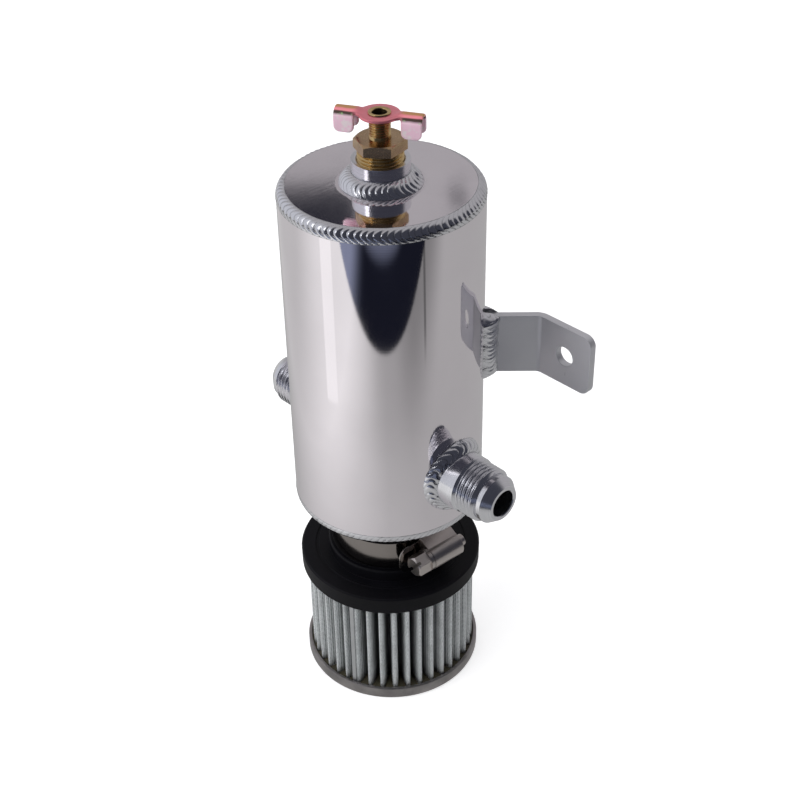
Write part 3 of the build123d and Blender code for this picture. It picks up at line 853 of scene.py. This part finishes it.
class CATCHCAN_OT_drain_bung(Operator):
    """Builds the bung in the drain end and the fillet round it"""
    bl_idname = "catch_can.drain_bung"
    bl_label = "Drain bung"

    def execute(self, context):
        welds = context.scene.catch_can_welds
        hole = 8.6 * MM
        low = TOP_Z - context.scene.catch_can_tank.cap
        bung = turned([(hole, low), (BUNG_R, low), (BUNG_R, BUNG_TOP), (hole + 0.5 * MM, BUNG_TOP),
                       (hole, BUNG_TOP - 0.5 * MM)], 128)
        soften(bung, 0.18 * MM)
        even_shading(piece(bung, "bung", turned_along_z, replaces=["drain_bung"]))
        leg = welds.bung_leg
        ripples = Ripples(38, 1.1 * welds.ripple_height, 1.3, 11)
        bead = round_bead((BUNG_R, TOP_Z + leg), (BUNG_R + leg, TOP_Z), [(BUNG_R, TOP_Z)], 0.19 * leg, ripples, 600)
        dimple(bead, (10.4, 7.9, 229.6), 1.9 * MM, 1.1 * MM)
        weld(bead, "bung_bead", "drain_bung_weld")
        return {"FINISHED"}


class CATCHCAN_OT_drain_cock(Operator):
    """Builds the drain cock's hexagon, plug and hollow stem"""
    bl_idname = "catch_can.drain_cock"
    bl_label = "Drain cock"

    def execute(self, context):
        cock = context.scene.catch_can_cock
        threads = context.scene.catch_can_threads
        hex_low = COCK_HIGH - cock.hex_height
        plug_r = 8.55 * MM
        bore = 4.02 * MM
        side = thread_rows(plug_r, COCK_LOW, hex_low, hex_low - COCK_LOW, threads.plug_pitch)
        plug = turned([(bore, COCK_LOW)] + side + [(bore, hex_low)], 120)
        threaded(plug, COCK_LOW + 0.3 * MM, hex_low - 0.2 * MM, threads.plug_pitch, 0.85 * MM, 0.5 * MM, plug_r)
        piece(plug, "cock_plug", polished_brass, replaces=["petcock_body"], smooth=75)
        hexagon = cad_copy("petcock_body")
        bmesh.ops.delete(hexagon, geom=[f for f in hexagon.faces if f.calc_center_median().z < hex_low - 0.05 * MM],
                         context="FACES")
        soften(hexagon, 0.15 * MM, angle=25)
        even_shading(piece(hexagon, "cock_hexagon", machined_brass, replaces=["petcock_body"]))
        stem_r, bore_r = 3.95 * MM, 2.6 * MM
        low, high = COCK_HIGH + 1.3 * MM, PLATE_TOP - 1.3 * MM
        side = thread_rows(stem_r, low, high, high - low, threads.stem_pitch)
        head_r, shoulder, flare = 6.2 * MM, PLATE_TOP - 1.27 * MM, PLATE_TOP + 0.07 * MM
        stem = turned(
            [(bore_r, STEM_LOW + 5.6 * MM), (0.0, STEM_LOW + 5.6 * MM), (0.0, STEM_LOW), (head_r - 0.4 * MM, STEM_LOW),
             (head_r, STEM_LOW + 0.4 * MM), (head_r, STEM_LOW + 2.2 * MM), (stem_r, STEM_LOW + 2.2 * MM)]
            + side + [(stem_r, shoulder), (3.5 * MM, shoulder), (3.5 * MM, flare), (3.9 * MM, flare),
                      (4.15 * MM, flare + 0.15 * MM), (4.05 * MM, STEM_HIGH - 0.08 * MM), (3.6 * MM, STEM_HIGH),
                      (3.0 * MM, STEM_HIGH - 0.12 * MM), (bore_r, STEM_HIGH - 0.6 * MM)], 96)
        threaded(stem, low, high, threads.stem_pitch, 0.55 * MM, 0.4 * MM, stem_r)
        piece(stem, "cock_stem", polished_brass, replaces=["petcock_stem"], body="stem", smooth=75)
        paint(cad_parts["stem_seal"].data, moulded_rubber)
        return {"FINISHED"}


class CATCHCAN_OT_wing_handle(Operator):
    """Builds the wing handle: a dished disc whose arms roll into arches with hanging ears"""
    bl_idname = "catch_can.wing_handle"
    bl_label = "Wing handle"

    def execute(self, context):
        sheet = context.scene.catch_can_cock.sheet
        turn = Matrix.Rotation(radians(29.0), 3, "Z")
        bm = cad_copy("wing_handle")
        bmesh.ops.rotate(bm, matrix=turn.inverted(), cent=(0, 0, 0), verts=bm.verts)
        bm = even_skin(bm, 0.25 * MM)
        roll_r = 3.5 * MM
        axis_z = HANDLE_HIGH - roll_r
        arm, strip_half = 8.6 * MM, 2.6 * MM
        for v in bm.verts:
            x, y = abs(v.co.x), abs(v.co.y)
            if x > arm:
                hollow = sqrt(max(0.0, (roll_r - sheet) ** 2 - y * y))
                if y < roll_r - sheet and v.co.z > axis_z:
                    v.co.z = max(v.co.z, axis_z + hollow)
            else:
                drop = roll_r - sqrt(roll_r ** 2 - min(y, strip_half) ** 2)
                lift = max(0.0, HANDLE_HIGH - PLATE_TOP - drop) * ramp(x, 4.6 * MM, arm)
                v.co.z = max(v.co.z, min(v.co.z + lift, HANDLE_HIGH - drop))
            ridge = 1 - abs(hypot(x, y) - 5.2 * MM) / (1.0 * MM)
            if ridge > 0 and v.co.z > PLATE_TOP - sheet / 2:
                v.co.z += 0.12 * MM * ramp(ridge, 0, 1)
        bm = even_skin(bm, 0.2 * MM)
        for _ in range(5):
            bmesh.ops.smooth_vert(bm, verts=bm.verts, factor=0.5, use_axis_x=True, use_axis_y=True, use_axis_z=True)
        fold, on_arm = (bm.verts.layers.float.new(name) for name in ("fold", "arm"))
        middle_r = roll_r - sheet / 2
        half_width = middle_r * pi / 2 + axis_z - HANDLE_LOW
        for v in bm.verts:
            above = v.co.z - axis_z
            from_crown = middle_r * atan2(abs(v.co.y), max(above, 1e-6)) + max(0.0, -above)
            v[fold] = min(1.0, 0.07 + from_crown / half_width)
            v[on_arm] = ramp(abs(v.co.x), 6.8 * MM, arm + 1.2 * MM)
        bmesh.ops.rotate(bm, matrix=turn, cent=(0, 0, 0), verts=bm.verts)
        piece(bm, "handle", zinc_plating, replaces=["wing_handle"], body="handle", smooth=180)
        return {"FINISHED"}


class CATCHCAN_OT_hose_fittings(Operator):
    """Builds both hose fittings with their threads and cone seats"""
    bl_idname = "catch_can.hose_fittings"
    bl_label = "Hose fittings"

    def execute(self, context):
        threads = context.scene.catch_can_threads
        tip = FITTING_TIP
        nose, groove = tip - 5.4 * MM, tip - 6.2 * MM
        low = groove - 9.6 * MM
        inner = TANK_R - 5.0 * MM
        bore = 5.5 * MM
        side = thread_rows(threads.hose_r, low, groove - 1.0 * MM, groove - low, threads.hose_pitch)
        profile = [(bore, inner), (SHANK_R, inner), (SHANK_R, low - 0.5 * MM)] + side + [
            (10.1 * MM, groove), (9.45 * MM, groove), (9.45 * MM, nose), (9.65 * MM, nose),
            (9.8 * MM, nose + 0.15 * MM), (9.8 * MM, tip - 3.6 * MM), (7.087 * MM, tip), (5.8 * MM, tip),
            (bore, tip - 0.3 * MM)]
        for name, node, way in (("right_fitting", "right_hose_fitting", 1), ("left_fitting", "left_hose_fitting", -1)):
            fitting = turned(profile, 144)
            threaded(fitting, low, groove - 0.2 * MM, threads.hose_pitch, 1.0 * MM, 0.9 * MM, threads.hose_r)
            turn = Matrix.Translation((0, 0, FITTING_Z)) @ Matrix.Rotation(way * pi / 2, 4, "Y")
            bmesh.ops.transform(fitting, matrix=turn, verts=fitting.verts)
            piece(fitting, name, turned_along_x, replaces=[node], smooth=35)
        return {"FINISHED"}


class CATCHCAN_OT_fitting_welds(Operator):
    """Builds the saddle bead round each hose fitting"""
    bl_idname = "catch_can.fitting_welds"
    bl_label = "Fitting welds"

    def execute(self, context):
        welds = context.scene.catch_can_welds
        for side, seed in (("right", 21), ("left", 22)):
            bead = saddle_bead(welds.fitting_leg, Ripples(27, welds.ripple_height, 1.1, seed))
            if side == "right":
                dimple(bead, (38.8, 2.7, 124.6), 2.2 * MM, 1.1 * MM)
            else:
                bmesh.ops.rotate(bead, matrix=Matrix.Rotation(pi, 3, "Z"), cent=(0, 0, 0), verts=bead.verts)
            weld(bead, f"{side}_fitting_bead", f"{side}_fitting_weld")
        return {"FINISHED"}


class CATCHCAN_OT_brackets(Operator):
    """Builds the two wall brackets and the upright beads that hold them"""
    bl_idname = "catch_can.brackets"
    bl_label = "Brackets"

    def execute(self, context):
        bracket = context.scene.catch_can_bracket
        welds = context.scene.catch_can_welds
        for side, turn, seed in (("right", pi / 4, 31), ("left", 3 * pi / 4, 32)):
            node = f"{side}_bracket"
            strap = cad_copy(node, bracket.edge)
            even_shading(piece(strap, f"{side}_strap", strap_aluminium, replaces=[node]))
            for face, way in (("outer", -1), ("inner", 1)):
                bead = upright_bead(welds.strap_leg, 1.6 * MM, Ripples(15, welds.ripple_height, 1.4, seed + 5 * way))
                if way < 0:
                    bmesh.ops.scale(bead, vec=(1, -1, 1), verts=bead.verts)
                    bmesh.ops.reverse_faces(bead, faces=bead.faces)
                bmesh.ops.rotate(bead, matrix=Matrix.Rotation(turn, 3, "Z"), cent=(0, 0, 0), verts=bead.verts)
                weld(bead, f"{side}_strap_{face}_bead", f"{node}_welds")
        return {"FINISHED"}


class CATCHCAN_OT_breather_filter(Operator):
    """Builds the breather pipe, the rubber end, the pleats, their bed and the end cap"""
    bl_idname = "catch_can.breather_filter"
    bl_label = "Breather filter"

    def execute(self, context):
        welds = context.scene.catch_can_welds
        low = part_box("breather_pipe")[0].z
        bore = PIPE_R - 2.5 * MM
        pipe = turned([(bore, low), (PIPE_R, low), (PIPE_R, BASE_Z + 3.0 * MM), (bore, BASE_Z + 3.0 * MM)], 128)
        piece(pipe, "neck_pipe", turned_along_z, replaces=["breather_pipe"])
        leg = welds.pipe_leg
        bead = round_bead((PIPE_R + leg, BASE_Z), (PIPE_R, BASE_Z - leg), [(PIPE_R, BASE_Z)], 0.13 * leg,
                          Ripples(60, 0.6 * welds.ripple_height, 1.3, 41), 600)
        weld(bead, "pipe_bead", "breather_pipe_weld")
        self.rubber_end()
        self.pleats(context.scene.catch_can_filter.pleats)
        self.seam_strip()
        paint(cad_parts["potting_bed"].data, cast_potting)
        self.end_cap()
        return {"FINISHED"}

    def seam_strip(self):
        """The strip over the media's joint, narrower than its solid."""
        low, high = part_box("media_seam_clip")
        turn = Matrix.Rotation(atan2(low.y + high.y, low.x + high.x), 3, "Z")
        strip = cad_copy("media_seam_clip")
        bmesh.ops.rotate(strip, matrix=turn.inverted(), cent=(0, 0, 0), verts=strip.verts)
        bmesh.ops.scale(strip, vec=(1, 0.6, 1), verts=strip.verts)
        bmesh.ops.rotate(strip, matrix=turn, cent=(0, 0, 0), verts=strip.verts)
        soften(strip, 0.12 * MM)
        even_shading(piece(strip, "seam_strip", seam_metal, replaces=["media_seam_clip"]))

    def rubber_end(self):
        low = MEDIA_TOP - 3.0 * MM
        top, step = low + 7.7 * MM, low + 12.3 * MM
        bore, skirt = PIPE_R + 0.05 * MM, 36.1 * MM
        profile = [
            (bore, MEDIA_TOP), (skirt, MEDIA_TOP), (skirt, low), (37.3 * MM, low), (37.6 * MM, low + 0.3 * MM),
            (37.7 * MM, top - 0.7 * MM), (37.0 * MM, top), (31.7 * MM, top - 0.2 * MM), (31.7 * MM, top - 0.6 * MM),
            (30.3 * MM, top - 0.6 * MM), (30.3 * MM, top - 0.3 * MM), (26.0 * MM, top - 0.5 * MM),
            (26.0 * MM, step - 0.6 * MM), (25.4 * MM, step), (24.0 * MM, step), (24.0 * MM, NECK_TOP),
            (bore, NECK_TOP)]
        rubber = turned(profile, 160)
        soften(rubber, 0.22 * MM, segments=3, angle=18)
        even_shading(piece(rubber, "rubber_end", moulded_rubber, replaces=["filter_flange"]))

    def pleats(self, count):
        """Gauze folded round the filter: rounded tips and folds, one sheet thick."""
        tip, fold = 35.1 * MM, 26.2 * MM
        per_pleat = 18
        columns_round = count * per_pleat
        bm = bmesh.new()
        bmesh.ops.create_circle(bm, cap_ends=False, radius=tip, segments=columns_round)
        first = radians(-42.0)
        for v in bm.verts:
            angle = atan2(v.co.y, v.co.x) - first
            part = angle * count / (2 * pi)
            wave = 2 * abs(part - floor(part) - 0.5)
            lean = 0.006 * sin(5 * angle) + 0.004 * sin(13 * angle)
            rounded = 1 / (1 + 2.718 ** (-9 * (wave - 0.45)))
            radius = fold + (tip - fold) * min(1.0, max(0.0, 1.03 * rounded - 0.01))
            turn = first + angle + lean * (0.3 + 0.7 * wave)
            v.co = (radius * cos(turn), radius * sin(turn), MEDIA_LOW)
        levels = 8
        ring = list(bm.edges)
        for _ in range(levels):
            made = bmesh.ops.extrude_edge_only(bm, edges=ring)["geom"]
            raised = [g for g in made if isinstance(g, bmesh.types.BMVert)]
            ring = [g for g in made if isinstance(g, bmesh.types.BMEdge)]
            bmesh.ops.translate(bm, vec=(0, 0, (MEDIA_TOP - MEDIA_LOW) / levels), verts=raised)
        uv = bm.loops.layers.uv.new("weave")
        step = 2 * (tip - fold) / per_pleat * 1.08
        for face in bm.faces:
            columns = []
            for loop in face.loops:
                angle = (atan2(loop.vert.co.y, loop.vert.co.x) - first) % (2 * pi)
                columns.append(angle * columns_round / (2 * pi))
            wraps = max(columns) - min(columns) > count
            for loop, column in zip(face.loops, columns):
                if wraps and column < count:
                    column += columns_round
                loop[uv].uv = (column * step, loop.vert.co.z)
        bmesh.ops.recalc_face_normals(bm, faces=bm.faces)
        media = piece(bm, "pleated_gauze", filter_gauze, replaces=["pleated_media"], smooth=80)
        thick = media.modifiers.new("Thickness", "SOLIDIFY")
        thick.thickness = 0.7 * MM
        thick.offset = -1

    def end_cap(self):
        wall, hem = CAP_R - 0.8 * MM, CAP_R - 1.5 * MM
        floor_z = 1.0 * MM
        cup = turned([
            (0.0, 0.0), (CAP_R - 0.8 * MM, 0.0), (CAP_R - 0.24 * MM, 0.24 * MM), (CAP_R, 0.8 * MM),
            (CAP_R, CAP_TOP - 0.4 * MM), (CAP_R - 0.2 * MM, CAP_TOP - 0.1 * MM), (CAP_R - 0.5 * MM, CAP_TOP),
            (hem + 0.2 * MM, CAP_TOP), (hem, CAP_TOP - 0.3 * MM), (hem, CAP_TOP - 1.1 * MM),
            (wall, CAP_TOP - 1.5 * MM), (wall, floor_z), (0.0, floor_z)], 160)
        even_shading(piece(cup, "pressed_cap", plated_cap, replaces=["filter_end_cap"], smooth=50))


class CATCHCAN_OT_neck_clamp(Operator):
    """Builds the worm-drive clamp on the neck"""
    bl_idname = "catch_can.neck_clamp"
    bl_label = "Neck clamp"

    def execute(self, context):
        for node, edge, steel, body in (("clamp_band", 0.12 * MM, band_steel, "tank"),
                                        ("clamp_housing", 0.2 * MM, screw_steel, "tank"),
                                        ("clamp_screw", 0.15 * MM, screw_steel, "clamp_worm")):
            bm = cad_copy(node, edge)
            if node == "clamp_band":
                bm = cut(bm, self.slots(context.scene.catch_can_clamp))
            even_shading(piece(bm, f"{node}_steel", steel, replaces=[node], body=body))
        return {"FINISHED"}

    def slots(self, clamp):
        """Cutters for the slots that the worm runs in, from just before the housing to well behind it."""
        low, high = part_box("clamp_band")
        ring_r = 24.4 * MM
        cutter = bmesh.new()
        for k in range(13):
            slot = bmesh.ops.create_cube(cutter, size=1.0)["verts"]
            bmesh.ops.scale(cutter, vec=(2.4 * MM, clamp.slot_width, 6.8 * MM), verts=slot)
            bmesh.ops.rotate(cutter, cent=(0, 0, 0), matrix=Matrix.Rotation(radians(6.0), 3, "X"), verts=slot)
            bmesh.ops.translate(cutter, vec=(ring_r, 0, (low.z + high.z) / 2), verts=slot)
            turn = Matrix.Rotation(radians(-18.0) + k * clamp.slot_pitch / ring_r, 3, "Z")
            bmesh.ops.rotate(cutter, cent=(0, 0, 0), matrix=turn, verts=slot)
        return cutter


class CATCHCAN_OT_stage(Operator):
    """Sets the pale floor, the studio cards, the lamps and the camera"""
    bl_idname = "catch_can.stage"
    bl_label = "Stage"

    def execute(self, context):
        scene = context.scene
        scene.view_settings.view_transform = "Standard"
        self.floor(scene.catch_can_stage)
        self.world(scene.catch_can_stage)
        self.cards()
        self.lamps()
        self.camera(scene)
        return {"FINISHED"}

    def floor(self, stage):
        """Pale sheet. Seen in the metal, it is brighter beside the key light and ends at its front edge."""
        bm = bmesh.new()
        bmesh.ops.create_grid(bm, x_segments=1, y_segments=1, size=3.0)
        floor_sheet = meshed("floor", bm)
        f = Finish("Floor sheet", Base_Color=(0.82, 0.82, 0.82), Roughness=0.9)
        toward = f.place(turn=(0, 0, radians(43.63)))
        t, r = f.part(toward, "X"), f.part(toward, "Y")
        spread = f.node("ShaderNodeMapRange", inputs={"Value": r, "From Min": -0.3, "From Max": 0.3})
        level = f.node("ShaderNodeValToRGB", {"stops": [
            (0.0, 0.93 * stage.floor_bright), (0.17, stage.floor_bright), (0.33, 0.62), (0.5, 0.46),
            (0.67, stage.floor_dim), (1.0, stage.floor_dim)]}, {"Fac": spread})
        behind = (1 - t.step(-0.14, 0.17)) * (1 - r.step(-0.12, 0.05))
        front = t.step(0.14, 0.29) * r.step(-0.12, -0.02)
        radial = r.math("ARCTAN2", t)
        streak = radial.within(0.75, 0.78, 0.012) * t.step(0.20, 0.24)
        shade = (1 - 0.34 * behind) * (1 - front * (0.20 + 0.26 * r.step(0.04, 0.18))) * (1 - 0.5 * streak)
        lit = f.mix(shade, (0, 0, 0), level)
        left = 1 - r.step(-0.24, -0.10)
        far = t.step(0.395, 0.43) * r.within(-0.10, 0.10, 0.08)
        night = f.mix(left.math("POWER", 2.2) * 0.9 + far * 0.5, (0.008, 0.009, 0.016), (0.24, 0.27, 0.38))
        beyond = t.step(stage.sheet_edge - 0.002, stage.sheet_edge + 0.002)
        mirrored = f.node("ShaderNodeEmission", inputs={"Color": f.mix(beyond, lit, night)})
        plain = Value(f, f.shader.outputs[0])
        away = f.off_axis().step(0.30, 1.0)
        white = f.node("ShaderNodeEmission", inputs={"Color": f.mix(away, (0.55, 0.55, 0.55), (1, 1, 1))})
        camera_view = f.node("ShaderNodeAddShader", inputs={0: plain, 1: white})
        seen = f.by_ray("Is Camera Ray", f.by_ray("Is Glossy Ray", plain, mirrored), camera_view)
        f.tree.links.new(seen.output, f.tree.nodes["Material Output"].inputs["Surface"])
        floor_sheet.data.materials.append(f.material)

    def world(self, stage):
        """Studio walls: grey behind the can, paler to the left, dark over and behind the camera."""
        world = bpy.data.worlds.new("Studio")
        bpy.context.scene.world = world
        world.use_nodes = True
        room = Nodes(world.node_tree)
        way = room.node("ShaderNodeTexCoord", output="Generated")
        toward, right, up = (
            room.node("ShaderNodeVectorMath", {"operation": "DOT_PRODUCT"}, {0: way, 1: axis}, output=1)
            for axis in (TOWARD, RIGHT, (0, 0, 1)))
        grey = (stage.room, 0.975 * stage.room, 1.01 * stage.room)
        level = room.mix(right.step(-0.85, -0.35), (0.60, 0.61, 0.66), grey)
        level = room.mix((toward + 0.35 * right).step(0.02, 0.36), level, (0.045, 0.047, 0.062))
        back = 1 - toward.step(-0.6, -0.5)
        doorway = right.within(-0.088, -0.028, 0.004) * up.within(0.460, 0.500, 0.005)
        stand = right.within(0.037, 0.046, 0.003) * up.within(0.463, 0.471, 0.003)
        level = room.mix((doorway + 0.8 * stand) * back, level, (0.012, 0.013, 0.022))
        walls = room.node("ShaderNodeBackground", inputs={"Color": level})
        white = room.node("ShaderNodeBackground", inputs={"Color": (1, 1, 1, 1)})
        seen = room.by_ray("Is Camera Ray", walls, white)
        room.tree.links.new(seen.output, room.tree.nodes["World Output"].inputs["Surface"])

    def cards(self):
        """White card beside the can and a small bright one by the key light, seen only in its polish."""
        for name, place, size, aim, level in (
                ("white card", (-213, 123, 60), (57, 120), (0, 0, 60), (0.95, 0.95, 0.95)),
                ("key card", (-520, 330, 640), (150, 260), (0, 0, 200), (2.4, 2.42, 2.5))):
            right, toward, up = place
            at = (RIGHT * right + TOWARD * toward + Vector((0, 0, up))) * MM
            bm = bmesh.new()
            bmesh.ops.create_grid(bm, x_segments=1, y_segments=1, size=0.5)
            bmesh.ops.scale(bm, vec=(size[0] * MM, size[1] * MM, 1), verts=bm.verts)
            turn = (at - Vector(aim) * MM).to_track_quat("Z", "Y").to_matrix().to_4x4()
            bmesh.ops.transform(bm, matrix=Matrix.Translation(at) @ turn, verts=bm.verts)
            card = meshed(name, bm)
            f = Finish(name.capitalize(), Base_Color=level)
            shine = f.node("ShaderNodeEmission", inputs={"Color": level})
            f.tree.links.new(shine.output, f.tree.nodes["Material Output"].inputs["Surface"])
            card.data.materials.append(f.material)
            card.visible_camera = card.visible_shadow = card.visible_diffuse = False

    def lamps(self):
        """Two soft boxes in front of the can and one over it."""
        for name, place, size, power in (("key", (-0.15, -0.75, 0.75), (1.2, 1.2), 7.5),
                                         ("fill", (0.85, 0.25, 0.6), (0.9, 0.9), 2.0),
                                         ("top", (-0.1, 0.1, 0.95), (1.0, 1.0), 3.0)):
            lamp = bpy.data.lights.new(name, "AREA")
            lamp.shape = "RECTANGLE"
            lamp.size, lamp.size_y = size
            lamp.energy = power
            holder = linked(name, lamp)
            holder.visible_glossy = False
            aim = Vector(place) - Vector((0, 0, 0.14))
            holder.matrix_world = Matrix.Translation(place) @ aim.to_track_quat("Z", "Y").to_matrix().to_4x4()

    def camera(self, scene):
        """The photograph's viewpoint, in millimetres of the can's own frame."""
        right = Vector((0.697985, 0.715939, -0.015735))
        up = Vector((-0.407923, 0.415562, 0.812962))
        back = Vector((0.588570, -0.561017, 0.582104))
        lens = bpy.data.cameras.new("camera")
        lens.sensor_width = 36.0
        lens.lens = 66.668
        lens.clip_start = 0.01
        holder = linked("camera", lens)
        turn = Matrix((right, up, back)).transposed().to_4x4()
        holder.matrix_world = Matrix.Translation(Vector((349.503, -325.917, 471.969)) * MM) @ turn
        scene.camera = holder


class CATCHCAN_PT_panel(Panel):
    """Lists the can's pieces, sizes and colours"""
    bl_idname = "CATCHCAN_PT_panel"
    bl_label = "Catch Can"
    bl_space_type = "VIEW_3D"
    bl_region_type = "UI"
    bl_category = "Catch Can"

    def draw(self, context):
        for operator in OPERATORS:
            self.layout.operator(operator.bl_idname)
        for name in GROUPS:
            box = self.layout.box()
            group = getattr(context.scene, name)
            for key in group.__annotations__:
                box.prop(group, key)


GROUPS = {
    "catch_can_tank": CatchCanTank,
    "catch_can_welds": CatchCanWelds,
    "catch_can_threads": CatchCanThreads,
    "catch_can_cock": CatchCanCock,
    "catch_can_bracket": CatchCanBracket,
    "catch_can_filter": CatchCanFilter,
    "catch_can_clamp": CatchCanClamp,
    "catch_can_stage": CatchCanStage,
}
OPERATORS = (
    CATCHCAN_OT_tank,
    CATCHCAN_OT_corner_welds,
    CATCHCAN_OT_drain_bung,
    CATCHCAN_OT_drain_cock,
    CATCHCAN_OT_wing_handle,
    CATCHCAN_OT_hose_fittings,
    CATCHCAN_OT_fitting_welds,
    CATCHCAN_OT_brackets,
    CATCHCAN_OT_breather_filter,
    CATCHCAN_OT_neck_clamp,
    CATCHCAN_OT_stage,
)


def register():
    for kind in (*GROUPS.values(), *OPERATORS, CATCHCAN_PT_panel):
        bpy.utils.register_class(kind)
    for name, kind in GROUPS.items():
        setattr(bpy.types.Scene, name, PointerProperty(type=kind))


def unregister():
    for name in GROUPS:
        delattr(bpy.types.Scene, name)
    for kind in reversed((*GROUPS.values(), *OPERATORS, CATCHCAN_PT_panel)):
        bpy.utils.unregister_class(kind)


def main():
    register()
    bpy.ops.catch_can.tank()
    bpy.ops.catch_can.corner_welds()
    bpy.ops.catch_can.drain_bung()
    bpy.ops.catch_can.drain_cock()
    bpy.ops.catch_can.wing_handle()
    bpy.ops.catch_can.hose_fittings()
    bpy.ops.catch_can.fitting_welds()
    bpy.ops.catch_can.brackets()
    bpy.ops.catch_can.breather_filter()
    bpy.ops.catch_can.neck_clamp()
    bpy.ops.catch_can.stage()


if __name__ == "__main__":
    main()
